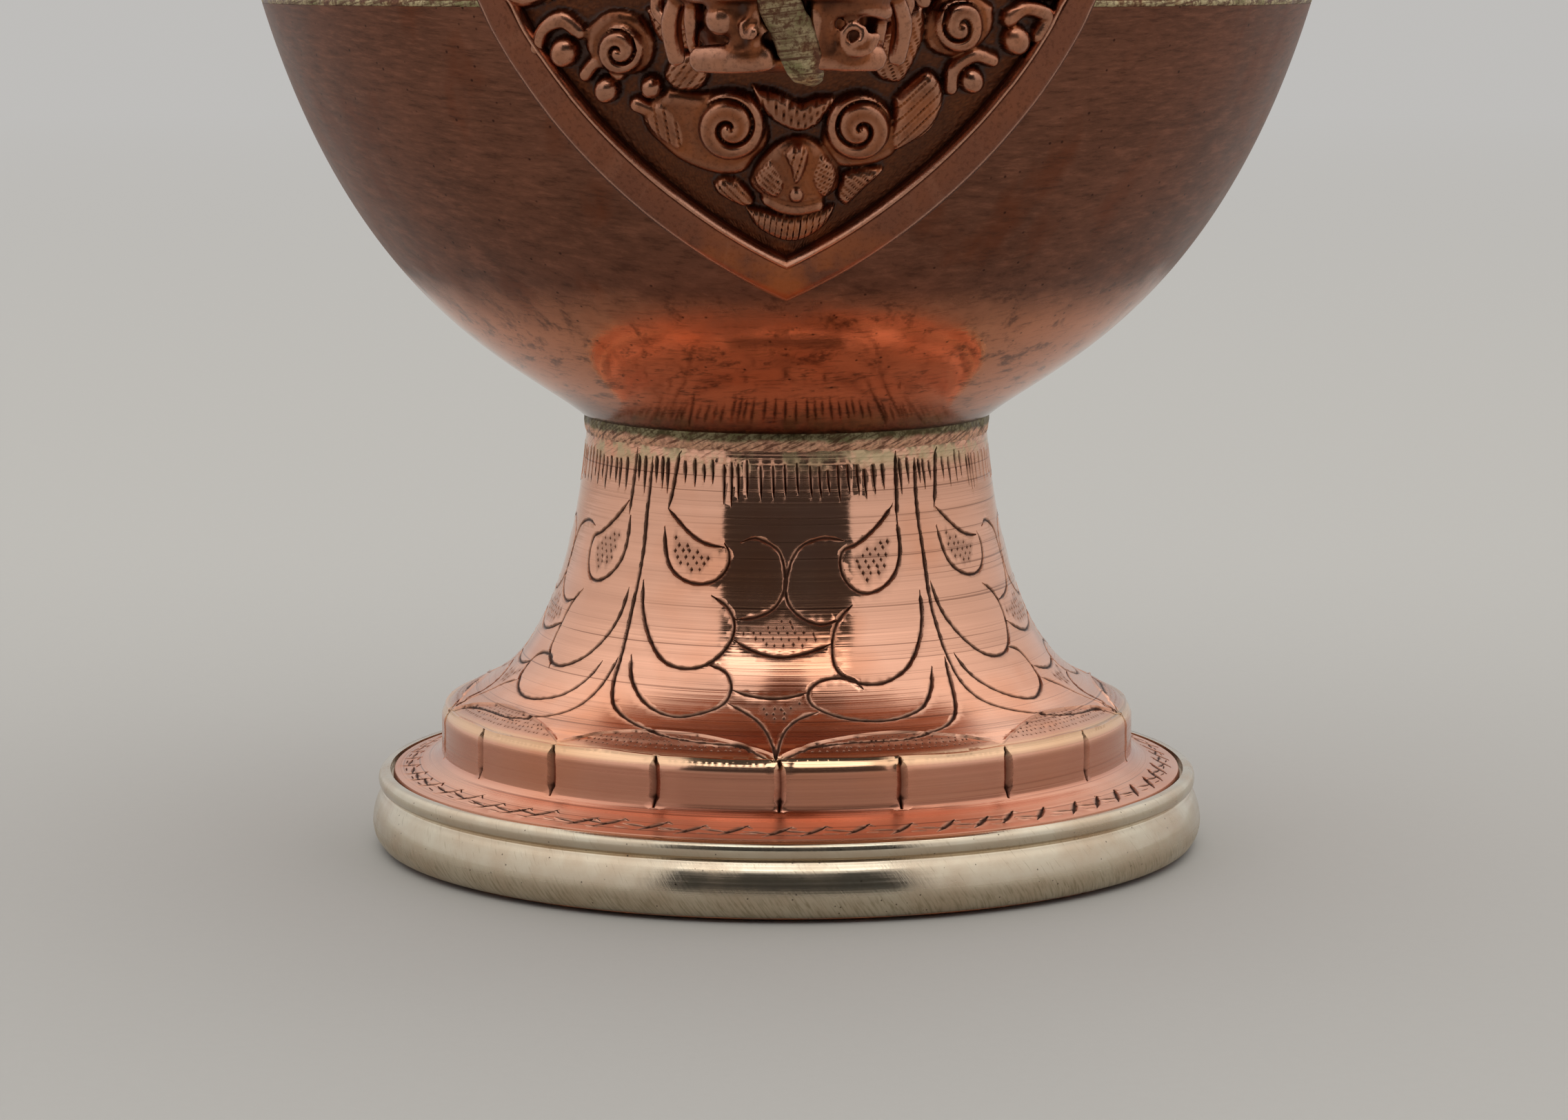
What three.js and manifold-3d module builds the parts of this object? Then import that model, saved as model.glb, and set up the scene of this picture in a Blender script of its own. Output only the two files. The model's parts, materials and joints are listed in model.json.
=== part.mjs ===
// Bumpa vase: a ritual ewer of spun and beaten copper with white metal rings,
// a makara head that holds the spout, and a stopper that lifts out of the mouth.
// Lengths are millimetres, +Z is up, the spout points along -Y, and the origin
// is the centre of the base plate's underside.

import * as THREE from 'three';
import { mergeVertices } from 'three/addons/utils/BufferGeometryUtils.js';
import Module from 'manifold-3d';

const wasm = await Module();
wasm.setup();

// Fits and walls
const SEAT_GAP = 0.3;
const COPPER_WALL = 1;

// Base plate and white metal foot ring
const RIM_RADIUS = 40;
const BASE_PLATE_THICKNESS = 0.8;
const BASE_PLATE_INSET = 0.8;
const RIM_RING_HEIGHT = 6.35;
const RIM_RING_WIDTH = 3.8;
const RIM_RING_FOOT_INSET = 0.7;
const RIM_GROOVE_DEPTH = 1;
const RIM_BEAD_INSET = 0.6;
const RIM_BEAD_TOP_INSET = 1.1;
const RIM_HEIGHT_SHARES = { widest: 0.43, groove: 0.72, bead: 0.88 };

// Foot shell: flange, step band, crest and flared stem
const FLANGE_THICKNESS = 1;
const FLANGE_SEAT_WIDTH = 1.5;
const FLANGE_WIDTH = 4.7;
const FLANGE_RISE = 1.65;
const FLANGE_FILLET_SHARES = [0.25, 0.64];
const BAND_HEIGHT = 3.6;
const CREST_WIDTH = 2;
const CREST_HEIGHT = 1.85;
const CREST_ROUND_SHARES = [0.25, 0.49];
const STEM_RADIUS = 19.2;
const STEM_HEIGHT = 25.35;
const STEM_CURVE_SHARES = [[0.03, 0.04], [0.81, 0]];
const FOOT_BRAZE_HEIGHT = 1.6;
const FOOT_BRAZE_PROUD = 0.25;

// Belly: two beaten halves with a level seam
const BELLY_FOOT_RADIUS = 19.4;
const BELLY_SEAM_RADIUS = 49.35;
const BELLY_MAX_RADIUS = 51.8;
const BELLY_LOWER_HEIGHT = 39.05;
const BELLY_SEAM_HEIGHT = 0.5;
const BELLY_SEAM_PROUD = 0.1;
const BELLY_RISE_TO_WIDEST = 17.25;
const SHOULDER_HEIGHT = 32.2;
const LOWER_CURVE_SHARES = [[0.183, 0.121], [0.712, 0.253]];
const WIDEST_CURVE_SHARES = [[0.76, 0.38], [1, 0.67]];
const SHOULDER_CURVE_SHARES = [[0, 0.466], [0.421, 0.916]];

// Neck, its collar and the mouth
const NECK_ROOT_RADIUS = 14;
const SHOULDER_TOP_RADIUS = 15.5;
const NECK_BRAZE_HEIGHT = 0.7;
const COLLAR_HEIGHT = 3;
const COLLAR_RADIUS = 17;
const COLLAR_ROUND = 1.2;
const NECK_STEM_HEIGHT = 26.3;
const NECK_STEM_TOP_RADIUS = 27.4;
const NECK_CURVE_SHARES = [[-0.19, 0.65], [0.71, 0.95]];
const NECK_CREST_HEIGHT = 1.85;
const NECK_BAND_HEIGHT = 3.55;
const NECK_FLANGE_RISE = 1.6;
const NECK_FLANGE_WIDTH = 4.2;
const MOUTH_RING_HEIGHT = 4.8;
const MOUTH_RING_WIDTH = 3.5;
const MOUTH_RING_ROUND = 1;
const MOUTH_HEIGHT_SHARES = { widest: 0.42, groove: 0.75, bead: 0.88 };
const DISH_WALL = 0.8;
const DISH_RIM_WIDTH = 3.4;
const DISH_DEPTH = 5.8;
const DISH_FLOOR_RADIUS = 20.1;
const STOPPER_HOLE_CLEARANCE = 0.5;

// Medallion on the front of the belly, in arc and height on its surface
const MEDALLION_FOOT_RISE = 14;
const MEDALLION_LOWER_HEIGHT = 34.8;
const MEDALLION_UPPER_HEIGHT = 27;
const MEDALLION_HALF_WIDTH = 31;
const MEDALLION_LOWER_SHARES = [[0.34, 0.14], [0.84, 0.49]];
const MEDALLION_UPPER_SHARES = [[-0.08, 0.36], [0.5, 0.86]];
const FRAME_WIDTH = 2.3;
const FRAME_HEIGHT = 2.6;
const FRAME_SECTION_SHARES = [[0, 0], [0.06, 0.82], [0.36, 1], [0.6, 0.84], [0.94, 0.8], [1, 0]];
const PLATE_THICKNESS = 0.8;
const PLATE_HOLE_CLEARANCE = 0.9;

// Spout
const SPOUT_SEAM_MARGIN = 1;
const SPOUT_ROOT_RADIUS = 7.4;
const SPOUT_TIP_RADIUS = 5;
const SPOUT_WALL = 0.8;
const SPOUT_REACH = 46;
const SPOUT_RISE = 68;
const SPOUT_INSIDE_LENGTH = 2.5;
const SPOUT_PATH_SHARES = [
  [0, 0], [0.17, 0], [0.34, 0.035], [0.51, 0.13], [0.61, 0.27], [0.67, 0.43], [0.74, 0.6], [0.85, 0.78], [0.93, 0.89],
  [1, 1],
];
const SPOUT_TIP_RING_HEIGHT = 2.4;
const SPOUT_TIP_RING_PROUD = 1.3;
const MOUTH_BRAZE_LENGTH = 1.6;
const MOUTH_BRAZE_PROUD = 1.3;
const MOUTH_BRAZE_PLACE_SHARE = 0.27;

// Makara head that holds the spout
const HEAD_CRANIUM = { out: 6, up: 2.5, halfWidth: 12, halfLength: 11, halfHeight: 10.5 };
const HEAD_MUZZLE = { out: 10, up: 4, halfWidth: 9.2, halfLength: 8, halfHeight: 8.5 };
const HEAD_EYE = { out: 9.5, up: 9.5, side: 7.4, radius: 2.8 };
const HEAD_CHEEK = { out: 10.5, up: 0, side: 8.2, radius: 3.2 };
const HEAD_EAR = { out: 5, up: 10, side: 9, radius: 3, length: 8 };
const TRUNK_ROOT_RADIUS = 4.2;
const TRUNK_TIP_RADIUS = 1.6;
const TRUNK_REACH = 4.5;
const TRUNK_RISE = 17;
const TRUNK_ROOT = { out: 6.5, up: 8 };
const TRUNK_PATH_SHARES = [[0, 0], [0.6, 0.35], [1, 0.7], [0.7, 0.95], [-0.2, 1], [-0.7, 0.8], [-0.2, 0.65]];
const MOUTH_CUT = { up: -3.4, opening: 0.8 };
const JAW = { out: 4, up: -9.2, halfWidth: 8.6, halfLength: 9.2, halfHeight: 4.8 };
const JAW_LIP = { out: 10.6, drop: 14, width: 14, length: 3.2, height: 2 };

// Stopper with the feather holder
const SLEEVE_RADIUS = 10.3;
const SLEEVE_WALL = 1;
const SLEEVE_HEIGHT = 15.2;
const STOPPER_FLANGE_RADIUS = 17;
const STOPPER_FLANGE_THICKNESS = 1.2;
const LOTUS_RADIUS = 15.2;
const LOTUS_TOP_RADIUS = 11.2;
const LOTUS_HEIGHT = 4.5;
const LOTUS_PETALS = 12;
const LOTUS_PETAL_DEPTH_SHARE = 0.1;
const LOTUS_BULGE_SHARES = [[0.9, 0.2], [1, 0.55], [0.93, 0.85]];
const DOME_RADIUS = 10.8;
const DOME_BULGE_SHARES = [[1.06, 0.15], [1.05, 0.4], [0.85, 0.7], [0.6, 0.88]];
const DOME_HEIGHT = 8.5;
const DOME_TOP_RADIUS = 5.4;
const BEAD_RING_RADIUS = 7.4;
const BEAD_RING_HEIGHT = 2.2;
const BULB_RADIUS = 7.6;
const BULB_END_RADIUS = 5.2;
const BULB_HEIGHT = 8.6;
const BULB_SHARES = [[0.75, 0.14], [1, 0.38], [0.95, 0.6], [0.6, 0.82]];
const SOCKET_BORE_RADIUS = 3.8;
const SOCKET_WALL = 1;
const SOCKET_HEIGHT = 12.8;
const SOCKET_FLOOR = 1.5;
const SOCKET_LIP_RADIUS = 6.2;
const SOCKET_LIP_HEIGHT = 2;

// Facets
const BODY_SEGMENTS = 36;
const SMALL_SEGMENTS = 24;
const TUBE_SIDES = 12;
const CURVE_STEPS = 8;
const MEDALLION_STEPS = 10;
const PLATE_RINGS = 4;
const BLOB_SEGMENTS = [12, 8];

// Heights of the stacked pieces
const rimTopZ = BASE_PLATE_THICKNESS + RIM_RING_HEIGHT;
const flangeSeatZ = rimTopZ - FLANGE_THICKNESS;
const bandFootZ = rimTopZ + FLANGE_RISE;
const bandTopZ = bandFootZ + BAND_HEIGHT;
const crestZ = bandTopZ + CREST_HEIGHT;
const footTopZ = crestZ + STEM_HEIGHT;
const bellyFootZ = footTopZ + FOOT_BRAZE_HEIGHT;
const seamFootZ = bellyFootZ + BELLY_LOWER_HEIGHT;
const seamTopZ = seamFootZ + BELLY_SEAM_HEIGHT;
const widestZ = seamTopZ + BELLY_RISE_TO_WIDEST;
const shoulderTopZ = widestZ + SHOULDER_HEIGHT;
const collarZ = shoulderTopZ + NECK_BRAZE_HEIGHT;
const neckFootZ = collarZ + COLLAR_HEIGHT;
const neckCrestZ = neckFootZ + NECK_STEM_HEIGHT;
const neckBandFootZ = neckCrestZ + NECK_CREST_HEIGHT;
const neckBandTopZ = neckBandFootZ + NECK_BAND_HEIGHT;
const mouthFlangeZ = neckBandTopZ + NECK_FLANGE_RISE;
const mouthSeatZ = mouthFlangeZ + FLANGE_THICKNESS;
const stopperSeatZ = mouthSeatZ + DISH_WALL - DISH_DEPTH;
const lotusZ = stopperSeatZ + STOPPER_FLANGE_THICKNESS;
const domeZ = lotusZ + LOTUS_HEIGHT;
const beadRingZ = domeZ + DOME_HEIGHT;
const bulbZ = beadRingZ + BEAD_RING_HEIGHT;
const socketZ = bulbZ + BULB_HEIGHT;
const socketTopZ = socketZ + SOCKET_HEIGHT;

// Radii that follow from the ones above
const flangeEdgeRadius = RIM_RADIUS - RIM_BEAD_TOP_INSET - SEAT_GAP - RIM_BEAD_INSET;
const bandRadius = flangeEdgeRadius - FLANGE_WIDTH;
const crestRadius = bandRadius - CREST_WIDTH;
const neckBoreRadius = NECK_ROOT_RADIUS - COPPER_WALL;
const neckBandRadius = NECK_STEM_TOP_RADIUS + CREST_WIDTH;
const mouthFlangeRadius = neckBandRadius + NECK_FLANGE_WIDTH;
const mouthBoreRadius = neckBandRadius - COPPER_WALL;
const dishRimRadius = mouthBoreRadius - 2 * SEAT_GAP + DISH_RIM_WIDTH;

// Materials
const brownCopper = { color: 0x6e483a, roughness: 0.55, metalness: 0.9 };
const brightCopper = { color: 0xb8735a, roughness: 0.25, metalness: 1 };
const darkCopper = { color: 0x5a3626, roughness: 0.5, metalness: 0.9 };
const whiteMetal = { color: 0xb9ab8c, roughness: 0.3, metalness: 1 };
const brazeBrass = { color: 0x9c8750, roughness: 0.55, metalness: 0.8 };

const vase = new THREE.Group();
const stopper = new THREE.Group();
vase.add(stopper);

function addPiece(group, name, geometry, finish) {
  const mesh = new THREE.Mesh(geometry, new THREE.MeshStandardMaterial(finish));
  mesh.name = name;
  group.add(mesh);
}

// Turning: outlines are [radius, height] points, up the outside and down the inside.
function turned(outline, segments) {
  const points = outline.map(([radius, height]) => new THREE.Vector2(radius, height));
  if (points[0].x > 0) points.push(points[0].clone());
  return new THREE.LatheGeometry(points, segments).rotateX(Math.PI / 2);
}

function washer(innerRadius, outerRadius, footZ, topZ) {
  return [[outerRadius, footZ], [outerRadius, topZ], [innerRadius, topZ], [innerRadius, footZ]];
}

// A cubic curve between two points, its handles given as shares of the run from start to end.
function curveBetween(start, end, handleShares, steps) {
  const handles = handleShares.map(([across, along]) => new THREE.Vector2(
    start[0] + across * (end[0] - start[0]),
    start[1] + along * (end[1] - start[1]),
  ));
  const curve = new THREE.CubicBezierCurve(
    new THREE.Vector2(...start), handles[0], handles[1], new THREE.Vector2(...end),
  );
  return curve.getPoints(steps).map((point) => [point.x, point.y]);
}

// The same line moved to its left by a distance, with its ends kept at their heights.
function leftOffset(points, distance) {
  return points.map(([radius, height], index) => {
    const before = points[Math.max(index - 1, 0)];
    const after = points[Math.min(index + 1, points.length - 1)];
    const run = Math.hypot(after[0] - before[0], after[1] - before[1]);
    const isEnd = index === 0 || index === points.length - 1;
    const lift = isEnd ? 0 : (distance * (after[0] - before[0])) / run;
    return [radius - (distance * (after[1] - before[1])) / run, height + lift];
  });
}

// Foot
function basePlate() {
  const radius = RIM_RADIUS - BASE_PLATE_INSET;
  return turned([[0, 0], [radius, 0], [radius, BASE_PLATE_THICKNESS], [0, BASE_PLATE_THICKNESS]], BODY_SEGMENTS);
}

function footRimRing() {
  const at = (share) => BASE_PLATE_THICKNESS + share * RIM_RING_HEIGHT;
  const innerRadius = RIM_RADIUS - RIM_RING_WIDTH;
  const beadTopRadius = RIM_RADIUS - RIM_BEAD_TOP_INSET;
  const ledgeRadius = flangeEdgeRadius + SEAT_GAP;
  return turned([
    [innerRadius, at(0)],
    [RIM_RADIUS - RIM_RING_FOOT_INSET, at(0)],
    [RIM_RADIUS, at(RIM_HEIGHT_SHARES.widest)],
    [RIM_RADIUS - RIM_GROOVE_DEPTH, at(RIM_HEIGHT_SHARES.groove)],
    [RIM_RADIUS - RIM_BEAD_INSET, at(RIM_HEIGHT_SHARES.bead)],
    [beadTopRadius, rimTopZ],
    [ledgeRadius, rimTopZ],
    [ledgeRadius, flangeSeatZ],
    [innerRadius, flangeSeatZ],
  ], BODY_SEGMENTS);
}

function footShell() {
  const filletRadius = bandRadius + FLANGE_FILLET_SHARES[0] * FLANGE_WIDTH;
  const filletZ = rimTopZ + FLANGE_FILLET_SHARES[1] * FLANGE_RISE;
  const roundRadius = bandRadius - CREST_ROUND_SHARES[0] * CREST_WIDTH;
  const roundZ = bandTopZ + CREST_ROUND_SHARES[1] * CREST_HEIGHT;
  const stem = curveBetween([crestRadius, crestZ], [STEM_RADIUS, footTopZ], STEM_CURVE_SHARES, CURVE_STEPS);
  const stemInside = leftOffset(stem, COPPER_WALL);
  const bandInside = bandRadius - COPPER_WALL;
  return turned([
    [flangeEdgeRadius, flangeSeatZ],
    [flangeEdgeRadius, rimTopZ],
    [filletRadius, filletZ],
    [bandRadius, bandFootZ],
    [bandRadius, bandTopZ],
    [roundRadius, roundZ],
    ...stem,
    ...stemInside.slice(1).reverse(),
    [bandInside - CREST_WIDTH + COPPER_WALL, crestZ - COPPER_WALL],
    [bandInside, bandTopZ],
    [bandInside, bandFootZ - COPPER_WALL],
    [flangeEdgeRadius - FLANGE_SEAT_WIDTH, flangeSeatZ],
  ], BODY_SEGMENTS);
}

function footJointBraze() {
  const innerRadius = STEM_RADIUS - COPPER_WALL;
  const outerRadius = BELLY_FOOT_RADIUS + FOOT_BRAZE_PROUD;
  return turned(washer(innerRadius, outerRadius, footTopZ, bellyFootZ), BODY_SEGMENTS);
}

// Belly
const lowerWall = curveBetween(
  [BELLY_FOOT_RADIUS, bellyFootZ], [BELLY_SEAM_RADIUS, seamFootZ], LOWER_CURVE_SHARES, CURVE_STEPS,
);
const wideningWall = curveBetween(
  [BELLY_SEAM_RADIUS, seamTopZ], [BELLY_MAX_RADIUS, widestZ], WIDEST_CURVE_SHARES, CURVE_STEPS / 2,
);
const shoulderWall = curveBetween(
  [BELLY_MAX_RADIUS, widestZ], [SHOULDER_TOP_RADIUS, shoulderTopZ], SHOULDER_CURVE_SHARES, CURVE_STEPS,
);
const upperWall = [...wideningWall, ...shoulderWall.slice(1)];

function bellyLower() {
  const inside = leftOffset(lowerWall, COPPER_WALL).reverse();
  const floorZ = bellyFootZ + COPPER_WALL;
  return turned([
    [0, bellyFootZ],
    ...lowerWall,
    ...inside.slice(0, -1),
    [BELLY_FOOT_RADIUS - COPPER_WALL, floorZ],
    [0, floorZ],
  ], BODY_SEGMENTS);
}

function bellySeamBraze() {
  const innerRadius = BELLY_SEAM_RADIUS - COPPER_WALL;
  const outerRadius = BELLY_SEAM_RADIUS + BELLY_SEAM_PROUD;
  return turned(washer(innerRadius, outerRadius, seamFootZ, seamTopZ), BODY_SEGMENTS);
}

function bellyUpper() {
  const inside = leftOffset(upperWall, COPPER_WALL).reverse();
  const shell = turned([
    ...upperWall,
    [neckBoreRadius, shoulderTopZ],
    [neckBoreRadius, shoulderTopZ - COPPER_WALL],
    ...inside.slice(1),
  ], BODY_SEGMENTS);
  return cut(shell, spoutSolid(SEAT_GAP));
}

// Neck and mouth
function neckJointBraze() {
  return turned(washer(neckBoreRadius, SHOULDER_TOP_RADIUS, shoulderTopZ, collarZ), BODY_SEGMENTS);
}

function neckCollarRing() {
  const shoulder = COLLAR_RADIUS - COLLAR_ROUND;
  return turned([
    [neckBoreRadius, collarZ],
    [shoulder, collarZ],
    [COLLAR_RADIUS, collarZ + COLLAR_ROUND],
    [COLLAR_RADIUS, neckFootZ - COLLAR_ROUND],
    [shoulder, neckFootZ],
    [neckBoreRadius, neckFootZ],
  ], BODY_SEGMENTS);
}

function neckShell() {
  const stem = curveBetween(
    [NECK_ROOT_RADIUS, neckFootZ], [NECK_STEM_TOP_RADIUS, neckCrestZ], NECK_CURVE_SHARES, CURVE_STEPS,
  );
  const inside = leftOffset(stem, COPPER_WALL).reverse();
  const roundRadius = neckBandRadius - CREST_ROUND_SHARES[0] * CREST_WIDTH;
  const roundZ = neckBandFootZ - CREST_ROUND_SHARES[1] * NECK_CREST_HEIGHT;
  const filletRadius = neckBandRadius + FLANGE_FILLET_SHARES[0] * NECK_FLANGE_WIDTH;
  const filletZ = mouthFlangeZ - FLANGE_FILLET_SHARES[1] * NECK_FLANGE_RISE;
  return turned([
    ...stem,
    [roundRadius, roundZ],
    [neckBandRadius, neckBandFootZ],
    [neckBandRadius, neckBandTopZ],
    [filletRadius, filletZ],
    [mouthFlangeRadius, mouthFlangeZ],
    [mouthFlangeRadius, mouthSeatZ],
    [mouthBoreRadius, mouthSeatZ],
    [mouthBoreRadius, neckBandFootZ],
    [NECK_STEM_TOP_RADIUS - COPPER_WALL, neckCrestZ + COPPER_WALL],
    ...inside.slice(1),
  ], BODY_SEGMENTS);
}

function mouthDish() {
  const holeRadius = SLEEVE_RADIUS + STOPPER_HOLE_CLEARANCE;
  const coneTopRadius = mouthBoreRadius - 2 * SEAT_GAP;
  const floorZ = stopperSeatZ - DISH_WALL;
  return turned([
    [holeRadius, floorZ],
    [DISH_FLOOR_RADIUS + SEAT_GAP, floorZ],
    [coneTopRadius, mouthSeatZ],
    [dishRimRadius, mouthSeatZ],
    [dishRimRadius, mouthSeatZ + DISH_WALL],
    [coneTopRadius - SEAT_GAP, mouthSeatZ + DISH_WALL],
    [DISH_FLOOR_RADIUS, stopperSeatZ],
    [holeRadius, stopperSeatZ],
  ], BODY_SEGMENTS);
}

function mouthRimRing() {
  const innerRadius = dishRimRadius + SEAT_GAP;
  const outerRadius = innerRadius + MOUTH_RING_WIDTH;
  const at = (share) => mouthSeatZ + share * MOUTH_RING_HEIGHT;
  return turned([
    [innerRadius, at(0)],
    [outerRadius - MOUTH_RING_ROUND, at(0)],
    [outerRadius, at(MOUTH_HEIGHT_SHARES.widest)],
    [outerRadius - MOUTH_RING_ROUND, at(MOUTH_HEIGHT_SHARES.groove)],
    [outerRadius - MOUTH_RING_ROUND / 2, at(MOUTH_HEIGHT_SHARES.bead)],
    [outerRadius - MOUTH_RING_ROUND, at(1)],
    [innerRadius, at(1)],
  ], BODY_SEGMENTS);
}

// Joins and cuts
function toManifold(geometry) {
  const bare = geometry.clone();
  bare.deleteAttribute('normal');
  bare.deleteAttribute('uv');
  const merged = mergeVertices(bare);
  return new wasm.Manifold(new wasm.Mesh({
    numProp: 3,
    vertProperties: merged.attributes.position.array,
    triVerts: new Uint32Array(merged.index.array),
  }));
}

function toGeometry(manifold) {
  const mesh = manifold.getMesh();
  const geometry = new THREE.BufferGeometry();
  geometry.setAttribute('position', new THREE.BufferAttribute(mesh.vertProperties, 3));
  geometry.setIndex(new THREE.BufferAttribute(mesh.triVerts, 1));
  geometry.computeVertexNormals();
  return geometry;
}

function join(pieces) {
  return toGeometry(pieces.map(toManifold).reduce((whole, piece) => whole.add(piece)));
}

function cut(geometry, ...cutters) {
  const start = toManifold(geometry);
  return toGeometry(cutters.map(toManifold).reduce((rest, cutter) => rest.subtract(cutter), start));
}

// Bends a geometry that stands along Z onto a curve in the YZ plane. Its heights are lengths
// along the curve.
function bent(geometry, curve) {
  const length = curve.getLength();
  const position = geometry.attributes.position;
  for (let index = 0; index < position.count; index += 1) {
    const share = Math.min(Math.max(position.getZ(index) / length, 0), 1);
    const place = curve.getPointAt(share);
    const along = curve.getTangentAt(share);
    const side = position.getY(index);
    const y = place.y + side * along.z;
    const z = place.z - side * along.y;
    position.setXYZ(index, position.getX(index), y, z);
  }
  geometry.computeVertexNormals();
  return geometry;
}

// Spout
const spoutRootZ = seamTopZ + SPOUT_SEAM_MARGIN + SEAT_GAP + SPOUT_ROOT_RADIUS;
const spoutRootOut = wallRadiusAt(spoutRootZ) - COPPER_WALL - SPOUT_INSIDE_LENGTH;
const spoutCurve = new THREE.CatmullRomCurve3(SPOUT_PATH_SHARES.map(([out, up]) => new THREE.Vector3(
  0, -(spoutRootOut + out * SPOUT_REACH), spoutRootZ + up * SPOUT_RISE,
)));

function spoutRadiusAt(share) {
  return THREE.MathUtils.lerp(SPOUT_ROOT_RADIUS, SPOUT_TIP_RADIUS, Math.sqrt(share));
}

function spoutLine(grow) {
  const length = spoutCurve.getLength();
  const steps = 2 * CURVE_STEPS;
  return Array.from({ length: steps + 1 }, (_, step) => [
    spoutRadiusAt(step / steps) + grow, (step / steps) * length,
  ]);
}

function spoutTube() {
  const bore = spoutLine(-SPOUT_WALL).reverse();
  return bent(turned([...spoutLine(0), ...bore], TUBE_SIDES), spoutCurve);
}

function spoutSolid(grow) {
  const length = spoutCurve.getLength();
  return bent(turned([[0, 0], ...spoutLine(grow), [0, length]], TUBE_SIDES), spoutCurve);
}

function spoutTipRing() {
  const tipRadius = SPOUT_TIP_RADIUS;
  const boreRadius = tipRadius - SPOUT_WALL;
  const outerRadius = tipRadius + SPOUT_TIP_RING_PROUD;
  const round = SPOUT_TIP_RING_PROUD / 2;
  const ring = turned([
    [boreRadius, 0],
    [outerRadius - round, 0],
    [outerRadius, SPOUT_TIP_RING_HEIGHT / 2],
    [outerRadius - round, SPOUT_TIP_RING_HEIGHT],
    [boreRadius, SPOUT_TIP_RING_HEIGHT],
  ], TUBE_SIDES);
  const end = spoutCurve.getPointAt(1);
  const along = spoutCurve.getTangentAt(1);
  const lean = Math.atan2(-along.y, along.z);
  return ring.rotateX(lean).translate(0, end.y, end.z);
}

function spoutMouthBraze() {
  const start = MOUTH_BRAZE_PLACE_SHARE * spoutCurve.getLength();
  const inner = spoutRadiusAt(MOUTH_BRAZE_PLACE_SHARE) + SEAT_GAP;
  return bent(turned([
    [inner, start],
    [inner + MOUTH_BRAZE_PROUD, start],
    [inner, start + MOUTH_BRAZE_LENGTH],
  ], TUBE_SIDES), spoutCurve);
}

// Places on the outer wall of the belly
function wallRadiusAt(height) {
  const wall = [...lowerWall, ...upperWall];
  const next = wall.findIndex((point) => point[1] > height);
  const [lowRadius, lowZ] = wall[next - 1];
  const [highRadius, highZ] = wall[next];
  return THREE.MathUtils.mapLinear(height, lowZ, highZ, lowRadius, highRadius);
}

function onWall(arc, height, lift) {
  const step = COPPER_WALL / 2;
  const radius = wallRadiusAt(height);
  const slope = (wallRadiusAt(height + step) - wallRadiusAt(height - step)) / (2 * step);
  const tilt = Math.atan(slope);
  const reach = radius + lift * Math.cos(tilt);
  const angle = arc / radius;
  return new THREE.Vector3(
    reach * Math.sin(angle), -reach * Math.cos(angle), height - lift * Math.sin(tilt),
  );
}

// Medallion
function medallionOutline() {
  const footZ = bellyFootZ + MEDALLION_FOOT_RISE;
  const widestRowZ = footZ + MEDALLION_LOWER_HEIGHT;
  const widest = [MEDALLION_HALF_WIDTH, widestRowZ];
  const lower = curveBetween([0, footZ], widest, MEDALLION_LOWER_SHARES, MEDALLION_STEPS);
  const upper = curveBetween(
    widest, [0, widestRowZ + MEDALLION_UPPER_HEIGHT], MEDALLION_UPPER_SHARES, MEDALLION_STEPS,
  );
  const right = [...lower, ...upper.slice(1)];
  const left = right.slice(1, -1).reverse().map(([arc, height]) => [-arc, height]);
  return [...right, ...left];
}

function insetLoop(loop, distance) {
  return loop.map((point, index) => {
    const before = loop[(index + loop.length - 1) % loop.length];
    const after = loop[(index + 1) % loop.length];
    const into = new THREE.Vector2(point[0] - before[0], point[1] - before[1]).normalize();
    const outOf = new THREE.Vector2(after[0] - point[0], after[1] - point[1]).normalize();
    const bisector = into.clone().add(outOf).normalize();
    const mitre = distance / bisector.dot(into);
    return [point[0] - bisector.y * mitre, point[1] + bisector.x * mitre];
  });
}

// A closed ring whose section runs from loop to loop.
function ringOfLoops(loops) {
  const count = loops[0].length;
  const indices = [];
  loops.forEach((loop, row) => {
    const nextRow = (row + 1) % loops.length;
    for (let column = 0; column < count; column += 1) {
      const nextColumn = (column + 1) % count;
      const a = row * count + column;
      const b = row * count + nextColumn;
      const c = nextRow * count + nextColumn;
      const d = nextRow * count + column;
      indices.push(a, b, c, a, c, d);
    }
  });
  const geometry = new THREE.BufferGeometry().setFromPoints(loops.flat());
  geometry.setIndex(indices);
  geometry.computeVertexNormals();
  return geometry;
}

function medallionFrame() {
  const outline = medallionOutline();
  return ringOfLoops(FRAME_SECTION_SHARES.map(([across, up]) => {
    const loop = insetLoop(outline, across * FRAME_WIDTH);
    const lift = SEAT_GAP + up * FRAME_HEIGHT;
    return loop.map(([arc, height]) => onWall(arc, height, lift));
  }));
}

function medallionPlate() {
  const border = insetLoop(medallionOutline(), FRAME_WIDTH + SEAT_GAP);
  const holeRadius = SPOUT_ROOT_RADIUS + PLATE_HOLE_CLEARANCE;
  const rows = Array.from({ length: PLATE_RINGS + 1 }, (_, ring) => border.map(([arc, height]) => {
    const share = ring / PLATE_RINGS;
    const angle = Math.atan2(height - spoutRootZ, arc);
    const holeArc = holeRadius * Math.cos(angle);
    const holeZ = spoutRootZ + holeRadius * Math.sin(angle);
    return [THREE.MathUtils.lerp(arc, holeArc, share), THREE.MathUtils.lerp(height, holeZ, share)];
  }));
  const lifted = (row, lift) => row.map(([arc, height]) => onWall(arc, height, lift));
  const front = rows.map((row) => lifted(row, SEAT_GAP + PLATE_THICKNESS));
  const back = rows.map((row) => lifted(row, SEAT_GAP)).reverse();
  return cut(ringOfLoops([...front, ...back]), bellySeamBraze());
}

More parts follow.
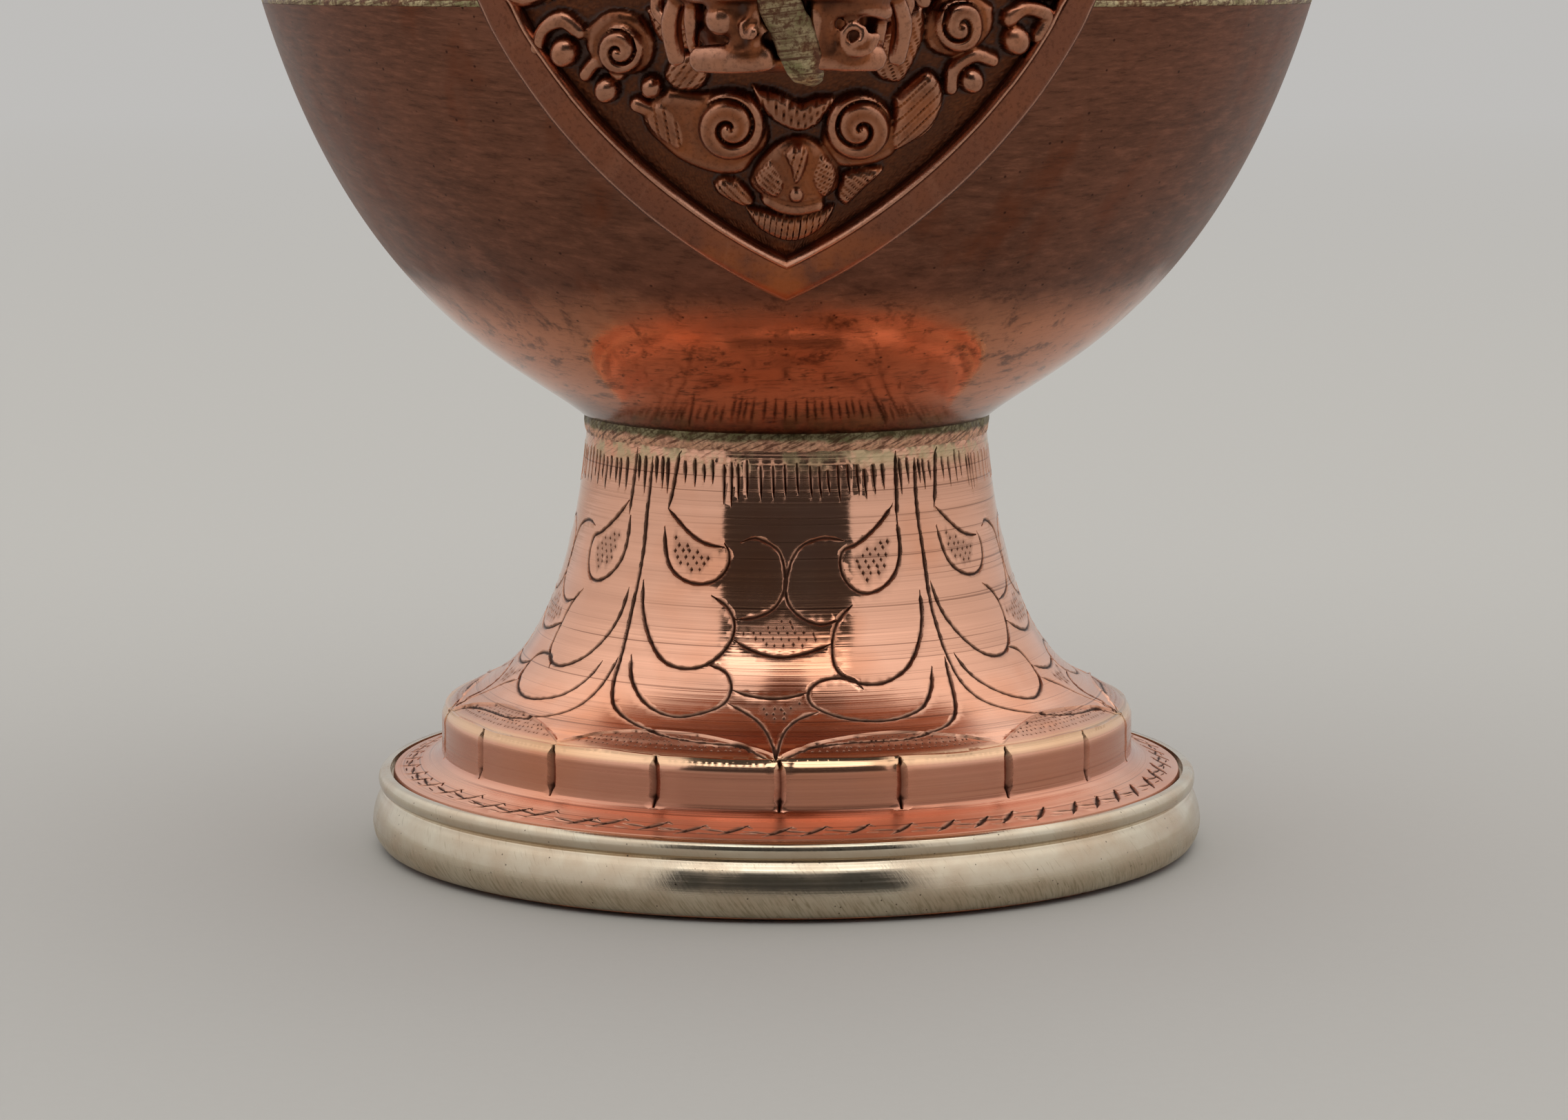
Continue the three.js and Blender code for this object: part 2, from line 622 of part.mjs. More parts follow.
// Makara head
function bellyClearance(lift) {
  const wall = [...lowerWall, ...upperWall];
  const grown = leftOffset(wall, -lift);
  const footZ = grown[0][1];
  const topZ = grown[grown.length - 1][1];
  return turned([[0, footZ], ...grown, [0, topZ]], BODY_SEGMENTS);
}

const headRootOut = wallRadiusAt(spoutRootZ);

function blob({ out, up, side = 0, halfWidth, halfLength, halfHeight }) {
  const sphere = new THREE.SphereGeometry(1, ...BLOB_SEGMENTS);
  return sphere
    .scale(halfWidth, halfLength, halfHeight)
    .translate(side, -(headRootOut + out), spoutRootZ + up);
}

function ball({ out, up, side, radius }) {
  return blob({ out, up, side, halfWidth: radius, halfLength: radius, halfHeight: radius });
}

function ear({ out, up, side, radius, length }) {
  const cone = new THREE.ConeGeometry(radius, length, BLOB_SEGMENTS[1]).rotateX(Math.PI / 2);
  return cone
    .rotateY(Math.sign(side) * Math.PI / 4)
    .translate(side, -(headRootOut + out), spoutRootZ + up);
}

function trunk() {
  const curve = new THREE.CatmullRomCurve3(TRUNK_PATH_SHARES.map(([out, up]) => new THREE.Vector3(
    0,
    -(headRootOut + TRUNK_ROOT.out + out * TRUNK_REACH),
    spoutRootZ + TRUNK_ROOT.up + up * TRUNK_RISE,
  )));
  const length = curve.getLength();
  const line = Array.from({ length: CURVE_STEPS + 1 }, (_, step) => [
    THREE.MathUtils.lerp(TRUNK_ROOT_RADIUS, TRUNK_TIP_RADIUS, step / CURVE_STEPS),
    (step / CURVE_STEPS) * length,
  ]);
  return bent(turned([[0, 0], ...line, [0, length]], TUBE_SIDES), curve);
}

const headBackLift = 2 * SEAT_GAP + PLATE_THICKNESS;

// A box that covers the whole head above or below a height next to the spout's root.
function mouthHalfSpace(up, side) {
  const size = 4 * HEAD_CRANIUM.halfWidth;
  const box = new THREE.BoxGeometry(size, size, size);
  return box.translate(0, -(headRootOut + HEAD_CRANIUM.out), spoutRootZ + up + side * size / 2);
}

function makaraHead() {
  const mirrored = (make, sizes) => [make(sizes), make({ ...sizes, side: -sizes.side })];
  const whole = join([
    blob(HEAD_CRANIUM),
    blob(HEAD_MUZZLE),
    ...mirrored(ball, HEAD_EYE),
    ...mirrored(ball, HEAD_CHEEK),
    ...mirrored(ear, HEAD_EAR),
    trunk(),
  ]);
  const below = mouthHalfSpace(MOUTH_CUT.up, -1);
  return cut(whole, bellyClearance(headBackLift), spoutSolid(SEAT_GAP), below);
}

function makaraJaw() {
  const lip = new THREE.BoxGeometry(JAW_LIP.width, JAW_LIP.length, JAW_LIP.height);
  lip.translate(0, -(headRootOut + JAW_LIP.out), spoutRootZ - JAW_LIP.drop + JAW_LIP.height / 2);
  const above = mouthHalfSpace(MOUTH_CUT.up - MOUTH_CUT.opening, 1);
  return cut(join([blob(JAW), lip]), bellyClearance(headBackLift), spoutSolid(SEAT_GAP), above);
}

// Stopper
function stopperSleeve() {
  const footZ = stopperSeatZ - SLEEVE_HEIGHT;
  return turned(washer(SLEEVE_RADIUS - SLEEVE_WALL, SLEEVE_RADIUS, footZ, stopperSeatZ), SMALL_SEGMENTS);
}

function stopperFlange() {
  return turned([
    [0, stopperSeatZ],
    [STOPPER_FLANGE_RADIUS, stopperSeatZ],
    [STOPPER_FLANGE_RADIUS, lotusZ],
    [0, lotusZ],
  ], BODY_SEGMENTS);
}

function swelling(footRadius, widestRadius, topRadius, footZ, height, shares) {
  return [
    [0, footZ],
    [footRadius, footZ],
    ...shares.map(([across, up]) => [across * widestRadius, footZ + up * height]),
    [topRadius, footZ + height],
    [0, footZ + height],
  ];
}

function stopperLotus() {
  const footRadius = LOTUS_RADIUS * LOTUS_BULGE_SHARES[0][0];
  const outline = swelling(footRadius, LOTUS_RADIUS, LOTUS_TOP_RADIUS, lotusZ, LOTUS_HEIGHT, LOTUS_BULGE_SHARES);
  const geometry = turned(outline, 4 * LOTUS_PETALS);
  const position = geometry.attributes.position;
  for (let index = 0; index < position.count; index += 1) {
    const x = position.getX(index);
    const y = position.getY(index);
    const height = (position.getZ(index) - lotusZ) / LOTUS_HEIGHT;
    const notch = 1 - Math.abs(Math.sin(Math.atan2(y, x) * LOTUS_PETALS / 2));
    const scale = 1 - LOTUS_PETAL_DEPTH_SHARE * notch * Math.sin(height * Math.PI);
    position.setXY(index, x * scale, y * scale);
  }
  geometry.computeVertexNormals();
  return geometry;
}

function stopperDome() {
  return turned(
    swelling(DOME_RADIUS, DOME_RADIUS, DOME_TOP_RADIUS, domeZ, DOME_HEIGHT, DOME_BULGE_SHARES), SMALL_SEGMENTS,
  );
}

function stopperBeadRing() {
  const middleZ = beadRingZ + BEAD_RING_HEIGHT / 2;
  const round = BEAD_RING_HEIGHT / 4;
  return turned([
    [0, beadRingZ],
    [BEAD_RING_RADIUS - round, beadRingZ],
    [BEAD_RING_RADIUS, middleZ],
    [BEAD_RING_RADIUS - round, bulbZ],
    [0, bulbZ],
  ], SMALL_SEGMENTS);
}

function stopperBulb() {
  return turned(
    swelling(BULB_END_RADIUS, BULB_RADIUS, BULB_END_RADIUS, bulbZ, BULB_HEIGHT, BULB_SHARES), SMALL_SEGMENTS,
  );
}

function featherSocket() {
  const outerRadius = SOCKET_BORE_RADIUS + SOCKET_WALL;
  const floorZ = socketZ + SOCKET_FLOOR;
  return turned([
    [0, socketZ],
    [outerRadius, socketZ],
    [outerRadius, socketTopZ],
    [SOCKET_BORE_RADIUS, socketTopZ],
    [SOCKET_BORE_RADIUS, floorZ],
    [0, floorZ],
  ], SMALL_SEGMENTS);
}

function socketLipRing() {
  const edge = SOCKET_LIP_RADIUS - SOCKET_LIP_HEIGHT / 4;
  return turned([
    [SOCKET_BORE_RADIUS, socketTopZ],
    [edge, socketTopZ],
    [SOCKET_LIP_RADIUS, socketTopZ + SOCKET_LIP_HEIGHT / 2],
    [edge, socketTopZ + SOCKET_LIP_HEIGHT],
    [SOCKET_BORE_RADIUS, socketTopZ + SOCKET_LIP_HEIGHT],
  ], SMALL_SEGMENTS);
}

addPiece(vase, 'base_plate', basePlate(), darkCopper);
addPiece(vase, 'foot_rim_ring', footRimRing(), whiteMetal);
addPiece(vase, 'foot_shell', footShell(), brightCopper);
addPiece(vase, 'foot_joint_braze', footJointBraze(), brazeBrass);
addPiece(vase, 'belly_lower', bellyLower(), brownCopper);
addPiece(vase, 'belly_seam_braze', bellySeamBraze(), brazeBrass);
addPiece(vase, 'belly_upper', bellyUpper(), brownCopper);
addPiece(vase, 'neck_joint_braze', neckJointBraze(), brazeBrass);
addPiece(vase, 'neck_collar_ring', neckCollarRing(), whiteMetal);
addPiece(vase, 'neck_shell', neckShell(), brightCopper);
addPiece(vase, 'mouth_dish', mouthDish(), brightCopper);
addPiece(vase, 'mouth_rim_ring', mouthRimRing(), whiteMetal);
addPiece(vase, 'medallion_plate', medallionPlate(), darkCopper);
addPiece(vase, 'medallion_frame', medallionFrame(), brownCopper);
addPiece(vase, 'makara_head', makaraHead(), darkCopper);
addPiece(vase, 'makara_jaw', makaraJaw(), darkCopper);
addPiece(vase, 'spout_tube', spoutTube(), brightCopper);
addPiece(vase, 'spout_mouth_braze', spoutMouthBraze(), brazeBrass);
addPiece(vase, 'spout_tip_ring', spoutTipRing(), whiteMetal);
addPiece(stopper, 'stopper_sleeve', stopperSleeve(), brightCopper);
addPiece(stopper, 'stopper_flange', stopperFlange(), brightCopper);
addPiece(stopper, 'stopper_lotus', stopperLotus(), brightCopper);
addPiece(stopper, 'stopper_dome', stopperDome(), brownCopper);
addPiece(stopper, 'stopper_bead_ring', stopperBeadRing(), whiteMetal);
addPiece(stopper, 'stopper_bulb', stopperBulb(), brightCopper);
addPiece(stopper, 'feather_socket', featherSocket(), brightCopper);
addPiece(stopper, 'socket_lip_ring', socketLipRing(), whiteMetal);

export default vase;
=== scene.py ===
import functools
import json
import math

import bpy
import numpy as np
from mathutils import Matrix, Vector
from mathutils.geometry import delaunay_2d_cdt


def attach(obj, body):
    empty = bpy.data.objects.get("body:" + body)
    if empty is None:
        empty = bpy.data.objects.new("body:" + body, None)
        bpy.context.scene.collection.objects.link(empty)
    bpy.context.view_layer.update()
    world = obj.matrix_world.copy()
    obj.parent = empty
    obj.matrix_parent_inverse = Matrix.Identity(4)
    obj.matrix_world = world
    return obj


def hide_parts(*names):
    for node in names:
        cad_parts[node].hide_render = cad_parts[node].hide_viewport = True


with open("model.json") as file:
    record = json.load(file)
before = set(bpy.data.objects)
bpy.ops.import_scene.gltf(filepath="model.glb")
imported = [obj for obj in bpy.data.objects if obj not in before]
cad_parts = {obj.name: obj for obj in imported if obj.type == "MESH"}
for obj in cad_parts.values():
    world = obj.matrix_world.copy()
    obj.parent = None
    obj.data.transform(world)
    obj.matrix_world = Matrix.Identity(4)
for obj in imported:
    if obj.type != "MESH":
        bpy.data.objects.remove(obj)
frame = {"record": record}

bl_info = {
    "name": "Bumpa Vase",
    "version": (1, 0, 0),
    "blender": (4, 5, 0),
    "location": "View3D > Sidebar > Bumpa Vase",
    "description": "Copper ritual ewer with an engraved foot, a medallion, a makara spout and a stopper",
    "category": "Add Mesh",
}

MM = 0.001
RECORD = frame["record"]
BODY_OF = {node: body for body, nodes in RECORD["behaviour"]["bodies"].items() for node in nodes}
PHOTO_WIDTH = 2274
# Radii of the foot's ring and of the joint under the belly, in mm.
RING_RADIUS = 40
JOINT_RADIUS = 19.5
# Points closer than this, in metres, are one: after a spin, and where two skins meet.
SPIN_GAP = 1e-6
SKIN_GAP = 2e-6
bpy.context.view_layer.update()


# Sizes and colours that a user would change

def linear(code):
    """The linear colour of an sRGB hex code."""
    parts = [int(code[i:i + 2], 16) / 255 for i in (1, 3, 5)]
    return tuple(p / 12.92 if p <= 0.04045 else ((p + 0.055) / 1.055) ** 2.4 for p in parts)


def colour(name, description, code):
    return bpy.props.FloatVectorProperty(
        name=name, description=description, default=linear(code), size=3, subtype="COLOR", min=0, max=1)


def length(name, description, millimetres):
    return bpy.props.FloatProperty(
        name=name, description=description, default=millimetres * MM, min=0, subtype="DISTANCE",
        unit="LENGTH")


class VaseSizes(bpy.types.PropertyGroup):
    """Sizes of the hand work on the vase."""
    wall: length("Copper wall", "Thickness of the spun copper", 1.0)
    groove_width: length("Groove width", "Width of an engraved line", 0.5)
    groove_depth: length("Groove depth", "Depth of an engraved line", 0.15)
    burr: length("Burr", "Height of the burr beside an engraved line", 0.035)
    dent_width: length("Punch dot width", "Width of a punch dot", 0.46)
    dent_depth: length("Punch dot depth", "Depth of a punch dot", 0.12)
    braze_roughness: length("Braze roughness", "How uneven the filed braze is", 0.28)


class VaseColours(bpy.types.PropertyGroup):
    """Colours of the vase's metals, of their tarnish and of the floor."""
    spun_copper: colour("Spun copper", "Polished copper of the foot, neck and stopper", "#f0b496")
    # Also the colour of painted reflections of the foot's glow, under the belly and low on the chased
    # copper.
    heat_tint: colour("Heat tint", "Orange tint where the torch has played", "#d9793f")
    oxide_brown: colour("Brown oxide", "Brushed brown oxide of the belly", "#734a39")
    groove_black: colour("Groove black", "Soot and wax left in the engraving", "#2a1510")
    nickel_silver: colour("Nickel silver", "Yellowish white metal of the rings", "#d8cbb4")
    pale_brass: colour("Brass braze", "Brass filler of the joints", "#c3b28a")
    verdigris: colour("Verdigris", "Green salts beside the joints", "#7f7c50")
    rust: colour("Rust streak", "Red brown streaks on the belly", "#6f3820")
    frame_brown: colour("Frame brown", "Satin brown of the medallion's frame", "#855441")
    chased_brown: colour("Chased brown", "Warm brown of the chased medallion and makara", "#7d4c35")
    floor: colour("Floor", "Pale floor", "#bcb9b3")


# Lines and shells

def curve_between(start, end, shares, steps=24):
    """Points of a cubic curve; each handle is given as its shares of the run."""
    handles = [tuple(a + (b - a) * s for a, b, s in zip(start, end, share)) for share in shares]
    corners = [start, *handles, end]
    points = []
    for i in range(steps + 1):
        t = i / steps
        weights = ((1 - t) ** 3, 3 * t * (1 - t) ** 2, 3 * t * t * (1 - t), t ** 3)
        points.append(tuple(sum(w * p[k] for w, p in zip(weights, corners)) for k in range(len(start))))
    return points


def flow(points, steps=6):
    """A smooth line through the points, of any number of values each."""
    points = [np.array(p, float) for p in points]
    padded = [2 * points[0] - points[1], *points, 2 * points[-1] - points[-2]]
    line = []
    for i in range(len(points) - 1):
        a, b, c, d = padded[i:i + 4]
        for k in range(steps):
            t = k / steps
            line.append(0.5 * (2 * b + (c - a) * t + (2 * a - 5 * b + 4 * c - d) * t * t
                               + (3 * b - a - 3 * c + d) * t ** 3))
    line.append(points[-1])
    return [tuple(p) for p in line]


def measured(points):
    """The points as an array, and how far along the line each lies."""
    points = np.array(points, float)
    run = np.hypot(*np.diff(points, axis=0).T)
    return points, np.concatenate([[0], np.cumsum(run)])


def at_run(points, run, where):
    """Radius, height and outward normal of a turned outline at some runs along it."""
    r = np.interp(where, run, points[:, 0])
    z = np.interp(where, run, points[:, 1])
    slope_r = np.interp(where, run, np.gradient(points[:, 0], run))
    slope_z = np.interp(where, run, np.gradient(points[:, 1], run))
    size = np.hypot(slope_r, slope_z)
    side = 1 if np.mean(slope_z) > 0 else -1
    return r, z, side * slope_z / size, -side * slope_r / size


def clear_selection():
    if bpy.context.mode != "OBJECT":
        bpy.ops.object.mode_set(mode="OBJECT")
    bpy.ops.object.select_all(action="DESELECT")


def pick(piece):
    clear_selection()
    piece.select_set(True)
    bpy.context.view_layer.objects.active = piece
    return piece


def face_outwards(gap=0.0):
    """Merges the active piece's points that lie within the gap, in metres, and turns its faces outwards."""
    bpy.ops.object.mode_set(mode="EDIT")
    bpy.ops.mesh.select_all(action="SELECT")
    if gap:
        bpy.ops.mesh.remove_doubles(threshold=gap)
    bpy.ops.mesh.normals_make_consistent(inside=False)
    bpy.ops.object.mode_set(mode="OBJECT")


def turned(name, outline, segments=256):
    """Spins an outline of (radius, height) in mm round the vase's axis, as on a lathe."""
    clear_selection()
    bpy.ops.mesh.primitive_plane_add(size=MM, location=(0, 0, 0))
    piece = bpy.context.object
    piece.name = piece.data.name = name
    bpy.ops.object.mode_set(mode="EDIT")
    bpy.ops.mesh.merge(type="CENTER")
    place = Vector((outline[0][0] * MM, 0, outline[0][1] * MM))
    bpy.ops.transform.translate(value=place)
    for radius, height in outline[1:]:
        target = Vector((radius * MM, 0, height * MM))
        bpy.ops.mesh.extrude_vertices_move(TRANSFORM_OT_translate={"value": target - place})
        place = target
    bpy.ops.mesh.select_all(action="SELECT")
    bpy.ops.mesh.spin(steps=segments, angle=2 * math.pi, center=(0, 0, 0), axis=(0, 0, 1))
    face_outwards(SPIN_GAP)
    return piece


def mark(piece, values):
    """Keeps how sooty each point is, from 0 to 1, as the attribute "engraving"; on the medallion's frame it
    also holds a painted contact shadow.
    """
    soot_and_shade = piece.data.attributes.new("engraving", "FLOAT", "POINT")
    soot_and_shade.data.foreach_set("value", np.asarray(values, np.float32))


def mesh_piece(name, points, faces, values=None):
    """A piece from points in mm and faces, with how sooty each point is, which on the medallion's frame is
    partly painted shade.
    """
    mesh = bpy.data.meshes.new(name)
    mesh.from_pydata((np.asarray(points, float) * MM).tolist(), [], faces)
    piece = bpy.data.objects.new(name, mesh)
    bpy.context.collection.objects.link(piece)
    if values is not None:
        mark(piece, values)
    pick(piece)
    face_outwards()
    return piece


def skin(rings, caps=True, closed=False):
    """Points and faces of a skin over rings of equal count; closed joins the last ring to the first."""
    rings = np.asarray(rings, float)
    count, around = rings.shape[:2]
    index = np.arange(count * around).reshape(count, around).tolist()
    rows = index + index[:1] if closed else index
    faces = [(low[k], low[(k + 1) % around], high[(k + 1) % around], high[k])
             for low, high in zip(rows, rows[1:]) for k in range(around)]
    if caps and not closed:
        faces += [tuple(index[0][::-1]), tuple(index[-1])]
    return rings.reshape(-1, 3), faces


def round_wall(radius, turn, height):
    """Places round the vase's axis; a turn of 0 is the front, in radians."""
    return np.stack(np.broadcast_arrays(radius * np.sin(turn), -radius * np.cos(turn), height), -1)


def unit(vector):
    return vector / np.linalg.norm(vector)


def uneven(piece, size, height, depth=3):
    """Makes a surface uneven, as by hand, over patches of the size in mm, by the height in mm."""
    pick(piece)
    texture = bpy.data.textures.new(piece.name + " unevenness", "CLOUDS")
    texture.noise_scale = size * MM
    texture.noise_depth = depth
    modifier = piece.modifiers.new("Unevenness", "DISPLACE")
    modifier.texture = texture
    modifier.texture_coords = "LOCAL"
    modifier.strength = height * MM
    modifier.mid_level = 0.5
    bpy.ops.object.modifier_apply(modifier=modifier.name)


def settle(piece, node, metal_name, angle=50):
    """Lets the piece stand for the node, ride on its body and take its metal."""
    pick(piece)
    bpy.ops.object.shade_smooth_by_angle(angle=math.radians(angle))
    piece.data.materials.clear()
    piece.data.materials.append(finish(metal_name))
    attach(piece, BODY_OF[node])
    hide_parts(node)
    return piece


# Materials

def add(tree, kind, *values, stops=(), **settings):
    """Adds a shader node, fills its inputs in order or by name, and gives its first output."""
    node = tree.nodes.new("ShaderNode" + kind)
    for key, value in settings.items():
        if key not in node.inputs:
            setattr(node, key, value)
    filled = list(zip([socket for socket in node.inputs if socket.enabled], values))
    filled += [(node.inputs[key], value) for key, value in settings.items() if key in node.inputs]
    for socket, value in filled:
        if isinstance(value, bpy.types.NodeSocket):
            tree.links.new(value, socket)
        else:
            socket.default_value = (*value, 1) if socket.type == "RGBA" else value
    if stops:
        band = node.color_ramp.elements
        while len(band) < len(stops):
            band.new(0.5)
        for element, (position, grey) in zip(band, stops):
            element.position = position
            element.color = (grey, grey, grey, 1)
    return next(socket for socket in node.outputs if socket.enabled)


def metal(name, metallic):
    """A new metal: its material, a maker of its nodes, its shader's inputs, the place and its parts."""
    material = bpy.data.materials.new(name)
    material.use_nodes = True
    node = functools.partial(add, material.node_tree)
    shader = material.node_tree.nodes["Principled BSDF"].inputs
    shader["Metallic"].default_value = metallic
    place = node("TexCoord").node.outputs["Object"]
    return material, node, shader, place, node("SeparateXYZ", place).node.outputs


def grain(node, place, scale, detail, roughness=0.55, turn=(0, 0, 0)):
    """Uneven patches 1 / scale metres wide; three scales draw them out one way, and a turn leans them."""
    if isinstance(scale, tuple):
        sizes = [1 / v for v in scale]
        place = node("Mapping", Vector=place, Scale=sizes, Rotation=turn, vector_type="TEXTURE")
        scale = 1.0
    return node("TexNoise", Vector=place, Scale=scale, Detail=detail, Roughness=roughness)


def round_axis(node, parts):
    """A vector that changes fast across a lathe's lines and slowly along them, in metres."""
    squares = [node("Math", parts[axis], parts[axis], operation="MULTIPLY") for axis in "XY"]
    radius = node("Math", node("Math", *squares, operation="ADD"), operation="SQRT")
    return node("CombineXYZ", parts["X"], parts["Y"],
                node("Math", parts["Z"], radius, operation="SUBTRACT"))


def unrolled(node, parts, radius):
    """The place on a round wall of about that radius in mm, laid flat."""
    turn = node("Math", parts["X"], node("Math", parts["Y"], -1.0, operation="MULTIPLY"),
                operation="ARCTAN2")
    return node("CombineXYZ", node("Math", turn, radius * MM, operation="MULTIPLY"), 0.0, parts["Z"])


def strength(node, *patterns):
    """How strongly something shows: the product of patterns, each with the stops of its ramp."""
    shares = [node("ValToRGB", pattern, stops=stops) for pattern, stops in patterns]
    return functools.reduce(lambda a, b: node("Math", a, b, operation="MULTIPLY"), shares)


def layered(node, base, layers):
    """Lays colours over the base; each layer is its share, or a pattern with its stops, and a colour."""
    for share, stops, tint in layers:
        share = strength(node, (share, stops)) if stops else share
        base = node("Mix", share, base, tint, data_type="RGBA")
    return base


def shade(tint, *shares):
    """The colour, times one share or one for each of its three parts."""
    return tuple(min(1.0, v * k) for v, k in zip(tint, shares if len(shares) == 3 else shares * 3))


def finish_metal(node, shader, base, roughness, bumps):
    """Links colour, roughness and a chain of bumps of (height, distance in mm, strength)."""
    links = base.id_data.links
    links.new(base, shader["Base Color"])
    links.new(roughness, shader["Roughness"])
    below = {}
    for height, distance, share in bumps:
        below = {"Normal": node("Bump", Height=height, Distance=distance * MM, Strength=share, **below)}
    links.new(below["Normal"], shader["Normal"])


def soot_and_shade_mask(node):
    """Where soot lies, from the mesh's attribute, and on the medallion's frame a painted contact shadow."""
    return node("Attribute", attribute_name="engraving").node.outputs["Fac"]


def spun_copper(name, tints, shine):
    """Spun and polished copper: it mirrors along its lathe lines, and soot stays in the cuts."""
    c = bpy.context.scene.vase_colours
    material, node, shader, place, parts = metal(name, 1.0)
    # The lathe's fine lines spread a reflection up and down, and keep its sides crisp.
    shader["Anisotropic"].default_value = 0.7
    shader["Anisotropic Rotation"].default_value = 0.25
    material.node_tree.links.new(node("Tangent", direction_type="RADIAL", axis="Z"), shader["Tangent"])
    # Lathe scratches drawn out round the axis: fine ones 0.2 mm apart, single deep ones about 0.5 mm apart.
    lathe = round_axis(node, parts)
    lines = grain(node, lathe, (16, 16, 4600), 3, 0.6)
    deep = grain(node, lathe, (9, 9, 1900), 2, 0.7)
    bands = grain(node, lathe, (10, 10, 420), 2)
    stray = grain(node, place, (2600, 2600, 260), 2, 0.5, (0.5, 0.35, 0.2))
    blush = grain(node, place, 70, 3)
    soot_and_shade = soot_and_shade_mask(node)
    # The ramps over the height run from 0 to 50 mm.
    height = node("Math", parts["Z"], 1 / 0.05, operation="MULTIPLY")
    # Brass from the joint is smeared over the foot's uppermost 4 mm, where slanted file strokes cross it.
    top = [(0.745, 0.0), (0.775, 0.8), (0.81, 0.8), (0.83, 0.0)]
    strokes = grain(node, unrolled(node, parts, JOINT_RADIUS), (4300, 1, 600), 3, 0.6, (0.0, 1.15, 0.0))
    filed = strength(node, (strokes, [(0.38, 0.75), (0.48, 0.0)]), (height, top))
    smear = grain(node, place, (420, 420, 300), 5, 0.65)
    smear = strength(node, (smear, [(0.46, 0.0), (0.58, 0.95)]), (height, top))
    # The step band is painted darker than the stem: painted shade. It is also made a little rougher.
    low = [(0.166, 0.1), (0.178, 0.75), (0.240, 0.85), (0.252, 0.0)]
    step_band_shade = strength(node, (height, low), (blush, [(0.3, 1.0), (0.7, 0.6)]))
    base = layered(node, c.spun_copper, [
        (blush, [(0.50, 0.0), (0.74, tints)], c.heat_tint),
        (bands, [(0.35, 0.14), (0.62, 0.0)], c.oxide_brown),
        (lines, [(0.28, 0.30), (0.42, 0.0)], c.oxide_brown),
        (deep, [(0.34, 0.6), (0.39, 0.0)], c.oxide_brown),
        (filed, None, c.oxide_brown),
        (smear, None, c.pale_brass),
        # Painted shade on the step band.
        (step_band_shade, None, shade(c.spun_copper, 0.60, 0.42, 0.40)),
        # A thin gold line along the crest's edge, from 12.5 to 13.7 mm, is a painted highlight.
        (height, [(0.250, 0.0), (0.256, 0.85 * tints), (0.268, 0.85 * tints), (0.274, 0.0)], CREST_HIGHLIGHT_GOLD),
        (soot_and_shade, [(0.08, 0.0), (0.75, 0.9)], c.groove_black),
    ])
    flare = [(0.158, 0.22), (0.172, 0.0), (0.274, 0.0), (0.29, 0.13), (0.32, 0.13), (0.42, 0.0)]
    rough = strength(node, (lines, [(0.25, shine + 0.12), (0.6, shine)]))
    rough = node("Math", rough, strength(node, (height, flare)), operation="ADD")
    for pattern, share in ((soot_and_shade, 0.42), (smear, 0.2), (strength(node, (height, low)), 0.12)):
        rough = node("Math", pattern, share, rough, operation="MULTIPLY_ADD", use_clamp=True)
    finish_metal(node, shader, base, rough, [(lines, 0.04, 0.16), (deep, 0.12, 0.22), (stray, 0.02, 0.06)])
    return material


def brushed_oxide(name):
    """Copper oxidised brown and rubbed with a wire brush: dull, hair lined and dark pitted."""
    c = bpy.context.scene.vase_colours
    material, node, shader, place, parts = metal(name, 0.95)
    # Brush hairs about 0.3 mm wide and 3 mm long run round the belly, and fainter ones across them.
    hairs = grain(node, round_axis(node, parts), (330, 330, 3600), 4, 0.75, (0.05, 0.03, 0.0))
    cross = grain(node, place, (420, 420, 3000), 4, 0.75, (0.14, -0.16, 0.6))
    cloud = grain(node, place, 110, 5, 0.6)
    grit = grain(node, place, 1900, 3, 0.6)
    pits = node("TexVoronoi", Vector=place, Scale=620)
    streaks = grain(node, place, (150, 150, 26), 3, 0.55, (0, 0.16, 0))
    # The ramps over the height run from 0 to 100 mm, and the cloud makes their edges ragged.
    height = node("Math", parts["Z"], 1 / 0.1, operation="MULTIPLY")
    ragged = node("Math", cloud, 0.06, height, operation="MULTIPLY_ADD")
    joint = strength(node, (height, [(0.414, 0.85), (0.432, 0.0)]), (grit, [(0.3, 1.0), (0.7, 0.5)]))
    dark = shade(c.oxide_brown, 0.55)
    pale = shade(c.oxide_brown, 1.6)
    # Light warm copper for the painted reflection of the foot's glow.
    bare_copper_or_glow = tuple(min(1.0, 0.5 * a + 0.75 * b) for a, b in zip(c.spun_copper, c.heat_tint))
    base = layered(node, dark, [
        (cloud, [(0.3, 0.0), (0.7, 1.0)], pale),
        (0.6, None, c.oxide_brown),
        (hairs, [(0.50, 0.0), (0.66, 0.75)], pale),
        (streaks, [(0.57, 0.0), (0.68, 0.55)], c.rust),
        # The belly's underside, up to about 58 mm, is painted warm and nearly bare: a painted reflection of
        # the foot's glow.
        (ragged, [(0.45, 0.2), (0.475, 0.64), (0.54, 0.56), (0.585, 0.0)], bare_copper_or_glow),
        (hairs, [(0.34, 0.7), (0.46, 0.0)], dark),
        (cross, [(0.30, 0.55), (0.47, 0.0)], dark),
        (joint, None, shade(c.oxide_brown, 0.5)),
        (pits, [(0.05, 0.75), (0.11, 0.0)], c.groove_black),
    ])
    low = strength(node, (ragged, [(0.545, 1.0), (0.595, 0.0)]))
    dull = strength(node, (cloud, [(0.3, 0.36), (0.7, 0.46)]))
    rough = node("Math", low, -0.31, dull, operation="MULTIPLY_ADD", use_clamp=True)
    finish_metal(node, shader, base, rough, [(hairs, 0.05, 0.22), (cross, 0.04, 0.14), (grit, 0.03, 0.12)])
    return material


